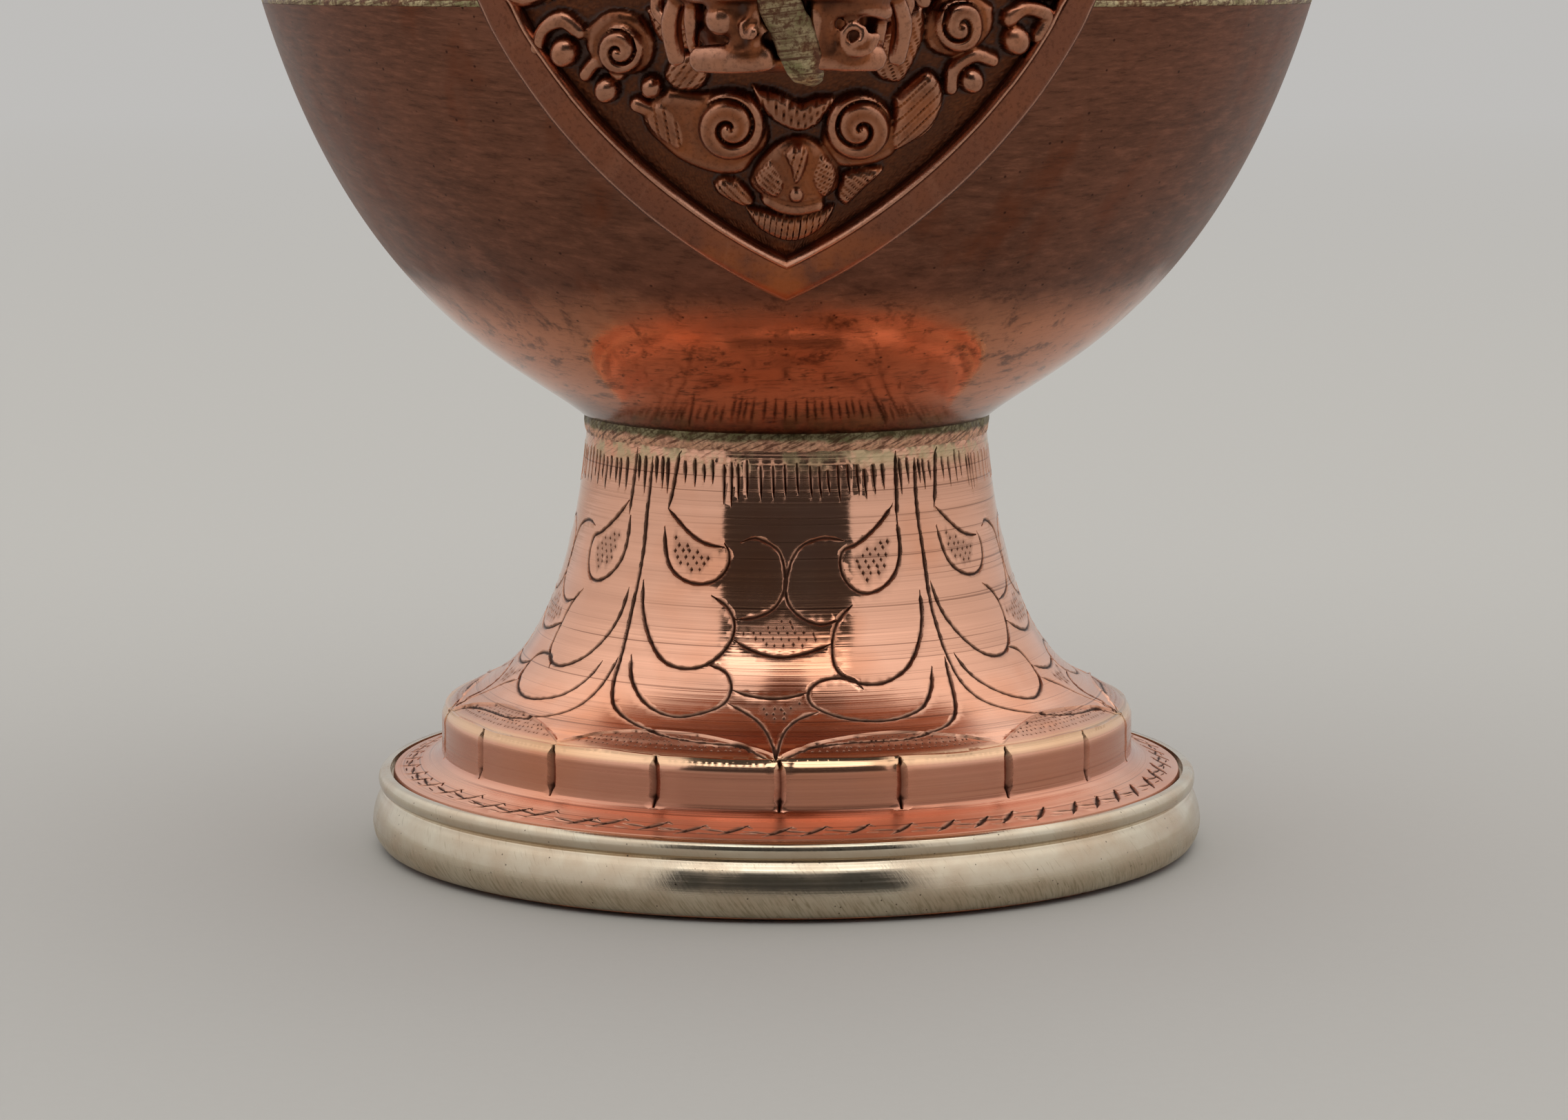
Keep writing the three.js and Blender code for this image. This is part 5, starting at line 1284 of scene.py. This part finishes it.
def build_plate():
    right = np.array(MEDALLION_LOW + MEDALLION_HIGH[1:])
    rows, columns, backs = 300, 270, 13
    levels = np.concatenate([np.linspace(57.0, 82.0, 190, endpoint=False),
                             np.linspace(82.0, 115.4, rows - 190)])
    half = np.interp(levels, right[:, 1], right[:, 0]) - 1.2 - 1.1 * np.clip(1 - (levels - 57) / 6, 0, 1)
    half[0] = half[-1] = 0
    half = np.maximum(half, 0)[:, None]
    arc = half * np.linspace(-1, 1, columns)
    height = np.repeat(levels[:, None], columns, 1)
    high, cut = relief(arc, height)
    high = high * np.clip((half - np.abs(arc) - 1.2) / 0.7, 0, 1)
    soft = high.copy()
    for _ in range(5):
        soft = (soft + np.roll(soft, 1, 0) + np.roll(soft, -1, 0) + np.roll(soft, 1, 1)
                + np.roll(soft, -1, 1)) / 5
    dark = np.clip(np.maximum(0.66 - 0.62 * high, 0.11) + 1.8 * (soft - high) + 0.6 * cut, 0, 1)
    front = on_belly(arc, height, high + 0.75)
    back = on_belly(half * np.linspace(-1, 1, backs), np.repeat(levels[:, None], backs, 1), -0.05)
    index = np.arange(rows * columns).reshape(rows, columns).tolist()
    under = (rows * columns + np.arange(rows * backs).reshape(rows, backs)).tolist()
    faces = []
    for low, high, below, above in zip(index, index[1:], under, under[1:]):
        faces += [(low[j], low[j + 1], high[j + 1], high[j]) for j in range(columns - 1)]
        faces += [(below[j], above[j], above[j + 1], below[j + 1]) for j in range(backs - 1)]
        faces += [(low[0], high[0], above[0], below[0]), (low[-1], below[-1], above[-1], high[-1])]
    faces += [(index[i][0], index[i][-1], under[i][-1], under[i][0]) for i in (0, -1)]
    points = np.concatenate([front.reshape(-1, 3), back.reshape(-1, 3)])
    piece = mesh_piece("medallion_plate_chased", points, faces,
                       np.concatenate([dark.ravel(), np.full(rows * backs, 1.0)]))
    face_outwards(SKIN_GAP)
    settle(piece, "medallion_plate", "worn chased copper", 60)


# Makara and spout

SPOUT_LINE = [(0, -47.73, 89.45), (0, -53.34, 89.28), (0, -58.88, 90.11), (0, -64.07, 92.22),
              (0, -68.59, 95.53), (0, -72.23, 99.78), (0, -74.67, 104.83), (0, -76.52, 110.13),
              (0, -77.81, 115.59), (0, -79.16, 121.04), (0, -80.59, 126.47), (0, -82.33, 131.81),
              (0, -84.42, 137.02), (0, -86.68, 142.16), (0, -89.15, 147.20), (0, -91.54, 152.28),
              (0, -93.73, 157.45)]
HEAD_ROOT_OUT = 51.2
HEAD_ROOT_HEIGHT = 89.45


def circle(middle, side, way, radius, around, flat=1.0):
    """A ring of points round the middle, square to the way."""
    turn = np.arange(around) * 2 * math.pi / around
    return middle + radius * (np.outer(np.cos(turn), side) + flat
                              * np.outer(np.sin(turn), np.cross(side, way)))


def swept(path, radii, around, flat=1.0):
    """Rings of the radii round a path in mm, turned as little as can be from one to the next."""
    path = np.array(path, float)
    ahead = [unit(way) for way in np.gradient(path, axis=0)]
    side = unit(np.cross(ahead[0], (0.0, 0.0, 1.0) if abs(ahead[0][2]) < 0.9 else (1.0, 0.0, 0.0)))
    rings = []
    for point, way, radius in zip(path, ahead, radii):
        side = unit(side - way * side.dot(way))
        rings.append(circle(point, side, way, radius, around, flat))
    return rings


def build_spout():
    path = np.array(flow(SPOUT_LINE, 6))
    share = np.linspace(0, 1, len(path))
    radii = 7.4 + (5.0 - 7.4) * np.sqrt(share)
    beads = sum(np.exp(-((share - at) / 0.006) ** 2) for at in (0.315, 0.335, 0.93, 0.95))
    outer = swept(path, radii + 0.35 * beads, 72)
    inner = swept(path, radii - 0.8, 72)
    points, faces = skin(outer + inner[::-1], closed=True)
    settle(mesh_piece("spout_tube_bent", points, faces), "spout_tube", "drawn copper")

    # The braze lies where the tube leaves the mouth.
    at = int(0.27 * (len(path) - 1))
    way = unit(path[at + 1] - path[at - 1])
    steps = np.linspace(-0.9, 0.9, 10)
    swell = 1.35 * (1 - steps ** 4) ** 0.5
    line = [path[at] + way * s for s in steps]
    rings = swept(line, radii[at] + swell, 160) + swept(line, [radii[at] - 0.4] * len(steps), 160)[::-1]
    points, faces = skin(rings, closed=True)
    piece = mesh_piece("spout_mouth_braze_filed", points, faces)
    uneven(piece, 0.9, 0.25)
    settle(piece, "spout_mouth_braze", "green brass braze", 60)

    way = unit(path[-1] - path[-2])
    outline = ([(4.2, 0.0), (5.3, 0.0)]
               + flow([(5.6, 0.02), (6.1, 0.3), (6.3, 0.8), (6.1, 1.25), (5.75, 1.4)], 3)
               + flow([(5.75, 1.5), (6.0, 1.75), (5.95, 2.1), (5.5, 2.38), (4.9, 2.4), (4.4, 2.3),
                       (4.2, 2.0)], 3))
    rings = [circle(path[-1] + way * along, (1.0, 0.0, 0.0), way, radius, 120) for radius, along in outline]
    points, faces = skin(rings, closed=True)
    settle(mesh_piece("spout_tip_ring_turned", points, faces), "spout_tip_ring", "nickel silver")


def local(side, out, up):
    """A place by the makara's own measures: aside, out from the belly and up from the spout's root."""
    return (side, -(HEAD_ROOT_OUT + out), HEAD_ROOT_HEIGHT + up)


def blob(place, radii):
    clear_selection()
    place = [v * MM for v in local(*place)]
    bpy.ops.mesh.primitive_uv_sphere_add(segments=32, ring_count=20, radius=MM, location=place)
    piece = bpy.context.object
    piece.scale = radii
    bpy.ops.object.transform_apply(location=True, rotation=True, scale=True)
    return piece


def limb(path, radii, around=14, flat=1.0, steps=5):
    """A closed tapered strand through places of the makara, with round ends."""
    line = [np.array(p) for p in flow([local(*p) for p in path], steps)]
    sizes = [r[0] for r in flow([(r,) for r in radii], steps)]
    # Two smaller rings round off the first end, then the last.
    for _ in range(2):
        way = unit(line[0] - line[1])
        line = [line[0] + way * sizes[0] * 0.8, line[0] + way * sizes[0] * 0.5, *line][::-1]
        sizes = [sizes[0] * 0.35, sizes[0] * 0.8, *sizes][::-1]
    points, faces = skin(swept(line, sizes, around, flat))
    return mesh_piece("strand", points, faces)


def both(path, radii, **more):
    """The strand on both sides of the head."""
    return [limb([(s * x, o, u) for x, o, u in path], radii, **more) for s in (-1, 1)]


def scroll(centre, radius, turns, thick, way=1, lean=0.0):
    """A curl that winds inwards, laid on the belly's side of the head."""
    side, out, up = centre
    path, radii = [], []
    for k in range(int(turns * 12) + 1):
        share = k / (turns * 12)
        angle = way * 2 * math.pi * turns * share
        r = radius * (1 - 0.78 * share)
        path.append((side + r * math.cos(angle), out + lean * r * math.cos(angle) + 0.8 * share,
                     up + r * math.sin(angle)))
        radii.append(thick * (1 - 0.35 * share))
    return limb(path, radii, 10, steps=2)


def fused(name, parts, voxel):
    """Joins the parts and welds them into one skin."""
    clear_selection()
    for part in parts:
        part.select_set(True)
    bpy.context.view_layer.objects.active = parts[0]
    bpy.ops.object.join()
    piece = bpy.context.object
    piece.name = piece.data.name = name
    modifier = piece.modifiers.new("Weld", "REMESH")
    modifier.mode = "VOXEL"
    modifier.voxel_size = voxel * MM
    modifier.use_smooth_shade = True
    bpy.ops.object.modifier_apply(modifier=modifier.name)
    smoothing = piece.modifiers.new("Polish", "SMOOTH")
    smoothing.factor = 0.5
    smoothing.iterations = 2
    bpy.ops.object.modifier_apply(modifier=smoothing.name)
    darken_hollows(piece)
    return piece


def darken_hollows(piece):
    """Marks the hollows of a skin, where tarnish stays, in the attribute "engraving"."""
    def read(rows, key, width, kind):
        values = np.empty(len(rows) * width, kind)
        rows.foreach_get(key, values)
        return values.reshape(-1, width)

    place = read(piece.data.vertices, "co", 3, float) / MM
    normal = read(piece.data.vertices, "normal", 3, float)
    one, other = read(piece.data.edges, "vertices", 2, int).T
    count = len(place)
    near = np.maximum(np.bincount(np.concatenate([one, other]), minlength=count), 1)[:, None]
    soft = place.copy()
    for _ in range(14):
        total = [np.bincount(one, soft[other, axis], count) + np.bincount(other, soft[one, axis], count)
                 for axis in range(3)]
        soft = 0.4 * soft + 0.6 * np.transpose(total) / near
    hollow = ((soft - place) * normal).sum(1)
    mark(piece, np.clip(0.28 + hollow * 2.6, 0, 1))


def build_makara():
    # The head: skull, lips, ringed trunk, eyes, curls, brows, horns, ears and teeth.
    upper_lip = [(10.6, 3, -3.4), (10.2, 8, -2.4), (9.2, 12.6, -0.2), (7.2, 15.8, 3.0), (4.0, 17.6, 5.6),
                 (0, 18.3, 6.6)]
    lip = upper_lip + [(-x, o, u) for x, o, u in upper_lip[-2::-1]]
    parts = [blob((0, 6, 2.5), (11.4, 10.4, 10)), blob((0, 10, 4), (8.8, 7.6, 8)),
             blob((0, 13.6, 8.6), (5.2, 4.6, 3.8)),
             limb(lip, [1.3, 1.4, 1.5, 1.6, 1.5, 1.4, 1.5, 1.6, 1.5, 1.4, 1.3], 16),
             limb([(x * 0.94, o + 0.2, u + 2.7) for x, o, u in lip],
                  [0.55, 0.6, 0.7, 0.7, 0.6, 0.6, 0.6, 0.7, 0.7, 0.6, 0.55])]
    trunk = [(0, 6.5, 8), (0, 9.2, 14), (0, 11, 19.9), (0, 9.6, 24.1), (0, 5.6, 25), (0, 3.5, 21.8),
             (0, 5.6, 19.2)]
    parts.append(limb(trunk, [4.4, 3.7, 3.1, 2.7, 2.3, 1.9, 1.5], 24, steps=8))
    for k in range(9):
        a, b = np.array(trunk[k // 3]), np.array(trunk[k // 3 + 1])
        middle = a + (b - a) * (k % 3) / 3
        size = 4.3 - 0.17 * k
        arch = [(size * math.cos(t), middle[1] + size * math.sin(t) * 0.9 + 0.2,
                 middle[2] - 0.5 * math.sin(t))
                for t in np.linspace(-0.15, math.pi + 0.15, 9)]
        parts.append(limb(arch, [0.5] * 9, 8, steps=2))
    for s in (-1, 1):
        parts += [blob((s * 7.3, 10.4, 8.6), (2.7, 2.7, 2.7)), blob((s * 8.2, 10.5, 0.6), (3.0, 3.2, 3.0)),
                  blob((s * 8.6, 12.4, 9.3), (1.0, 1.0, 1.0)), blob((s * 2.9, 17.2, 9.4), (1.7, 1.6, 1.5))]
        parts += [scroll((s * 3.0, 17.4, 9.4), 1.9, 1.3, 0.6, s),
                  scroll((s * 9.4, 11.8, 0.8), 2.2, 1.4, 0.65, -s)]
        parts += [scroll((s * 11.2, 3.6, -3.2), 2.5, 1.4, 0.85, s, -0.7 * s),
                  scroll((s * 11.6, 3.2, 2.8), 2.7, 1.4, 0.9, -s, -0.7 * s),
                  scroll((s * 10.8, 3.0, 9.4), 2.6, 1.4, 0.85, s, -0.7 * s)]
    for path, radii in (
            ([(4.6, 12.8, 9.0), (6.6, 13.2, 11.4), (9.4, 11.0, 11.6), (10.6, 8.0, 9.6)],
             [0.6, 0.8, 0.8, 0.5]),
            ([(5.0, 13.3, 7.6), (7.0, 13.3, 6.1), (9.4, 11.4, 6.4), (10.6, 8.4, 8.4)],
             [0.45, 0.6, 0.6, 0.45]),
            ([(3.6, 12.6, 12.0), (6.6, 11.6, 14.0), (9.6, 8.4, 15.2), (11.4, 5.2, 18.0)],
             [0.8, 1.2, 1.0, 0.35]),
            ([(4.4, 9.8, 14.6), (7.4, 7.8, 16.6), (9.2, 5.0, 19.0), (8.8, 2.8, 22.0)],
             [0.7, 1.1, 0.9, 0.35])):
        parts += both(path, radii)
    parts += both([(9.2, 5.6, 8.0), (11.2, 4.0, 11.0), (11.6, 2.6, 14.2), (11.0, 1.4, 16.6)],
                  [1.6, 2.2, 1.6, 0.4], flat=0.55)
    for x, o, u, long in ((10.0, 6.4, -3.4, 1.6), (9.8, 9.4, -2.8, 1.8), (9.0, 12.2, -1.6, 3.4),
                          (7.9, 14.4, 0.4, 2.0)):
        parts += both([(x, o, u), (x + 0.1, o + 0.3, u - long * 0.6), (x - 0.2, o + 0.5, u - long)],
                      [0.85, 0.6, 0.2], around=10)
    settle(fused("makara_head_chased", parts, 0.36), "makara_head", "worn chased copper", 180)

    # The jaw: chin, lip, beard, curls and teeth.
    lower_lip = [(9.4, 4, -5.6), (8.6, 9.0, -7.0), (6.4, 12.4, -7.4), (3.4, 14.2, -7.2), (0, 14.8, -7.0)]
    lip = lower_lip + [(-x, o, u) for x, o, u in lower_lip[-2::-1]]
    parts = [blob((0, 4, -9.4), (8.4, 9.2, 4.6)), blob((0, 6.5, -11.4), (7.0, 5.2, 3.0)),
             limb(lip, [1.1, 1.3, 1.4, 1.4, 1.4, 1.4, 1.4, 1.3, 1.1], 14),
             limb([(-7.2, 10.2, -13.2), (-4.5, 11.6, -13.1), (-1.6, 12.1, -13.0)], [0.85, 1.0, 0.9],
                  flat=1.3),
             limb([(2.1, 12.1, -12.9), (4.8, 11.5, -12.9), (7.4, 10.0, -13.1)], [0.9, 1.0, 0.85], flat=1.3),
             blob((0, 8.8, -13.3), (6.4, 3.4, 1.1)), blob((-5.2, 12.4, -9.9), (1.4, 1.4, 1.4)),
             limb([(4.0, 13.2, -9.1), (6.2, 12.5, -8.9), (8.0, 10.9, -9.4)], [0.75, 0.9, 0.7]),
             scroll((5.6, 12.6, -11.3), 1.5, 1.3, 0.5, -1), scroll((-2.9, 13.4, -10.9), 1.1, 1.1, 0.4, 1)]
    for x in (-7.4, -3.9, -2.4, 2.3, 3.2, 7.2):
        o = 13.6 * math.sqrt(1 - (x / 10.5) ** 2)
        parts.append(limb([(x, o, -7.6), (x * 1.04, o + 0.1, -9.8), (x * 1.02, o - 0.9, -12.4)],
                          [0.6, 0.7, 0.55]))
    parts += both([(8.8, 8.4, -8.2), (9.4, 7.6, -10.4), (9.0, 6.8, -13.2)], [0.8, 0.9, 0.8])
    parts += both([(7.6, 11.2, -6.6), (7.7, 11.5, -5.2), (7.4, 11.6, -4.2)], [0.8, 0.55, 0.2], around=10)
    parts += [scroll((s * 9.2, 4.2, -8.6), 2.1, 1.3, 0.75, s, -0.6 * s) for s in (-1, 1)]
    settle(fused("makara_jaw_chased", parts, 0.3), "makara_jaw", "worn chased copper", 180)

    # The braze that runs down the spout's underside, over the jaw.
    seam = limb([(-1.4, 17.8, -3.2), (-1.2, 16.6, -6.2), (-0.6, 14.9, -8.6), (0.4, 13.6, -10.8),
                 (1.0, 12.9, -12.6), (1.6, 11.6, -14.2),
                 (2.2, 9.6, -15.0)], [0.5, 0.72, 0.78, 0.8, 0.76, 0.66, 0.4], 24, 2.2,
                 8)
    seam.name = seam.data.name = "spout_seam_braze"
    uneven(seam, 1.2, 0.35)
    level = np.array([v.co.z for v in seam.data.vertices]) / MM - HEAD_ROOT_HEIGHT
    mark(seam, np.clip((level + 13.4) / 1.2, 0, 0.3))
    pick(seam)
    bpy.ops.object.shade_smooth_by_angle(angle=math.radians(60))
    seam.data.materials.append(finish("green brass braze"))
    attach(seam, "vase")


# The stage

PALE = (0.52, 0.51, 0.495)
# The camera that the photograph's ellipses fit, in metres, and how far it looks down, in degrees.
CAMERA_PLACE = (0, -0.4161, 0.0842)
CAMERA_DOWN = 7.84


def build_stage():
    c = bpy.context.scene.vase_colours
    clear_selection()
    bpy.ops.mesh.primitive_grid_add(x_subdivisions=8, y_subdivisions=8, size=60, location=(0, 0, -0.0002))
    floor = bpy.context.object
    floor.name = "floor"
    pick(floor)
    bpy.ops.object.transform_apply(location=True, rotation=False, scale=False)
    material = bpy.data.materials.new("pale matt floor")
    material.use_nodes = True
    tree = material.node_tree
    node = functools.partial(add, tree)
    shader = tree.nodes["Principled BSDF"]
    place = node("TexCoord").node.outputs["Object"]
    base = layered(node, c.floor,
                   [(grain(node, place, 900, 3), [(0.3, 0.0), (0.7, 0.12)], shade(c.floor, 0.9))])
    tree.links.new(base, shader.inputs["Base Color"])
    shader.inputs["Roughness"].default_value = 0.8
    # From 0.4 m to 2 m out the floor runs into the pale background.
    away = node("VectorMath", place, operation="LENGTH").node.outputs["Value"]
    far = strength(node, (node("Math", away, 1 / 4.0, operation="MULTIPLY"), [(0.1, 0.0), (0.5, 1.0)]))
    path = node("LightPath").node.outputs
    seen = node("Math", path["Is Camera Ray"], path["Is Glossy Ray"], operation="MAXIMUM")
    seen = node("Math", seen, path["Is Transmission Ray"], operation="MAXIMUM")
    blend = node("MixShader", node("Math", far, seen, operation="MULTIPLY"), shader.outputs["BSDF"],
                 node("Emission", PALE, 1.0))
    tree.links.new(blend, tree.nodes["Material Output"].inputs["Surface"])
    floor.data.materials.append(material)

    world = bpy.data.worlds.new("pale studio")
    bpy.context.scene.world = world
    world.use_nodes = True
    node = functools.partial(add, world.node_tree)
    parts = node("SeparateXYZ", node("TexCoord").node.outputs["Generated"]).node.outputs
    # From 0 at the horizon to 1 overhead, and from 0 in front of the vase to 1 behind it.
    rise = node("Math", node("Math", parts["Z"], operation="ARCSINE"), 2 / math.pi, operation="MULTIPLY")
    ahead = node("Math", parts["Y"], -1.0, operation="MULTIPLY")
    turn = node("Math", node("Math", parts["X"], operation="ABSOLUTE"), ahead, operation="ARCTAN2")
    turn = node("Math", turn, 1 / math.pi, operation="MULTIPLY")
    # Soft panels stand on both sides; between them, before the vase, it is dark under a front panel.
    side = strength(node, (rise, [(0.0, 0.62), (0.2, 0.74), (0.42, 1.02), (0.55, 1.15), (0.85, 0.65)]))
    front = strength(node, (rise,
                            [(0.0, 0.05), (0.42, 0.05), (0.445, 1.35), (0.495, 1.5), (0.51, 2.8),
                             (0.55, 2.8), (0.565, 1.4), (0.66, 1.35), (0.70, 0.85)]))
    beside = strength(node, (turn, [(0.190, 0.0), (0.196, 1.0), (0.86, 1.0), (0.90, 0.8)]))
    # The camera sees the pale background in place of the panels, and metal mirrors the panels.
    seen = node("LightPath").node.outputs["Is Camera Ray"]
    shown = layered(node, front, [(beside, None, side), (seen, None, PALE)])
    background = world.node_tree.nodes["Background"]
    world.node_tree.links.new(shown, background.inputs["Color"])
    background.inputs["Strength"].default_value = 1.0

    clear_selection()
    bpy.ops.object.light_add(type="AREA", location=(0.15, 0.1, 1.2))
    lamp = bpy.context.object
    lamp.name = "soft_panel_top"
    lamp.data.shape = "RECTANGLE"
    lamp.data.size, lamp.data.size_y = 0.9, 0.7
    lamp.data.energy = 1.6
    lamp.data.color = (1.0, 0.98, 0.95)
    lamp.rotation_euler = (Vector((0, 0, 0.08)) - lamp.location).to_track_quat("-Z", "Y").to_euler()

    clear_selection()
    bpy.ops.object.camera_add(location=CAMERA_PLACE, rotation=(math.radians(90 - CAMERA_DOWN), 0, 0))
    camera = bpy.context.object
    camera.name = "photo_camera"
    camera.data.lens = 100
    camera.data.sensor_width = 36
    camera.data.shift_x = -3.8 / PHOTO_WIDTH
    camera.data.clip_start = 0.01
    bpy.context.scene.camera = camera
    bpy.context.scene.view_settings.view_transform = "Standard"


# Operators

class VASE_OT_stage(bpy.types.Operator):
    """Adds the floor, the lights and the camera."""
    bl_idname = "vase.stage"
    bl_label = "Stage"

    def execute(self, context):
        build_stage()
        return {"FINISHED"}


class VASE_OT_base(bpy.types.Operator):
    """Turns the base plate and the white metal ring of the foot."""
    bl_idname = "vase.base"
    bl_label = "Base and Rim Ring"

    def execute(self, context):
        build_base()
        return {"FINISHED"}


class VASE_OT_foot(bpy.types.Operator):
    """Engraves the spun foot."""
    bl_idname = "vase.foot"
    bl_label = "Engraved Foot"

    def execute(self, context):
        build_foot()
        return {"FINISHED"}


class VASE_OT_belly(bpy.types.Operator):
    """Turns the two halves of the belly."""
    bl_idname = "vase.belly"
    bl_label = "Belly"

    def execute(self, context):
        build_belly()
        return {"FINISHED"}


class VASE_OT_brazes(bpy.types.Operator):
    """Lays the filed brazes of the joints."""
    bl_idname = "vase.brazes"
    bl_label = "Brazed Joints"

    def execute(self, context):
        build_brazes()
        return {"FINISHED"}


class VASE_OT_neck(bpy.types.Operator):
    """Turns the collar and engraves the neck."""
    bl_idname = "vase.neck"
    bl_label = "Collar and Neck"

    def execute(self, context):
        build_neck()
        return {"FINISHED"}


class VASE_OT_mouth(bpy.types.Operator):
    """Turns the dish in the mouth and the ring round it."""
    bl_idname = "vase.mouth"
    bl_label = "Mouth"

    def execute(self, context):
        build_mouth()
        return {"FINISHED"}


class VASE_OT_medallion(bpy.types.Operator):
    """Chases the medallion and lays its frame."""
    bl_idname = "vase.medallion"
    bl_label = "Medallion"

    def execute(self, context):
        build_frame()
        build_plate()
        return {"FINISHED"}


class VASE_OT_makara(bpy.types.Operator):
    """Models the makara's head and jaw."""
    bl_idname = "vase.makara"
    bl_label = "Makara"

    def execute(self, context):
        build_makara()
        return {"FINISHED"}


class VASE_OT_spout(bpy.types.Operator):
    """Bends the spout and adds its braze and tip ring."""
    bl_idname = "vase.spout"
    bl_label = "Spout"

    def execute(self, context):
        build_spout()
        return {"FINISHED"}


class VASE_OT_stopper(bpy.types.Operator):
    """Turns and chases the lift-out stopper."""
    bl_idname = "vase.stopper"
    bl_label = "Stopper"

    def execute(self, context):
        build_stopper()
        return {"FINISHED"}


STEPS = [VASE_OT_base, VASE_OT_foot, VASE_OT_belly, VASE_OT_brazes, VASE_OT_neck, VASE_OT_mouth,
         VASE_OT_medallion,
         VASE_OT_makara, VASE_OT_spout, VASE_OT_stopper, VASE_OT_stage]


class VASE_PT_panel(bpy.types.Panel):
    """Lists the pieces of the vase with their sizes and colours."""
    bl_idname = "VASE_PT_panel"
    bl_label = "Bumpa Vase"
    bl_space_type = "VIEW_3D"
    bl_region_type = "UI"
    bl_category = "Bumpa Vase"

    def draw(self, context):
        for step in STEPS:
            self.layout.operator(step.bl_idname)
        for group in (context.scene.vase_sizes, context.scene.vase_colours):
            for name in group.bl_rna.properties.keys():
                if name not in ("rna_type", "name"):
                    self.layout.prop(group, name)


CLASSES = [VaseSizes, VaseColours, *STEPS, VASE_PT_panel]


def register():
    for cls in CLASSES:
        bpy.utils.register_class(cls)
    bpy.types.Scene.vase_sizes = bpy.props.PointerProperty(type=VaseSizes)
    bpy.types.Scene.vase_colours = bpy.props.PointerProperty(type=VaseColours)


def unregister():
    del bpy.types.Scene.vase_colours
    del bpy.types.Scene.vase_sizes
    for cls in reversed(CLASSES):
        bpy.utils.unregister_class(cls)


def main():
    register()
    for step in STEPS:
        getattr(bpy.ops.vase, step.bl_idname.partition(".")[2])()


if __name__ == "__main__":
    main()
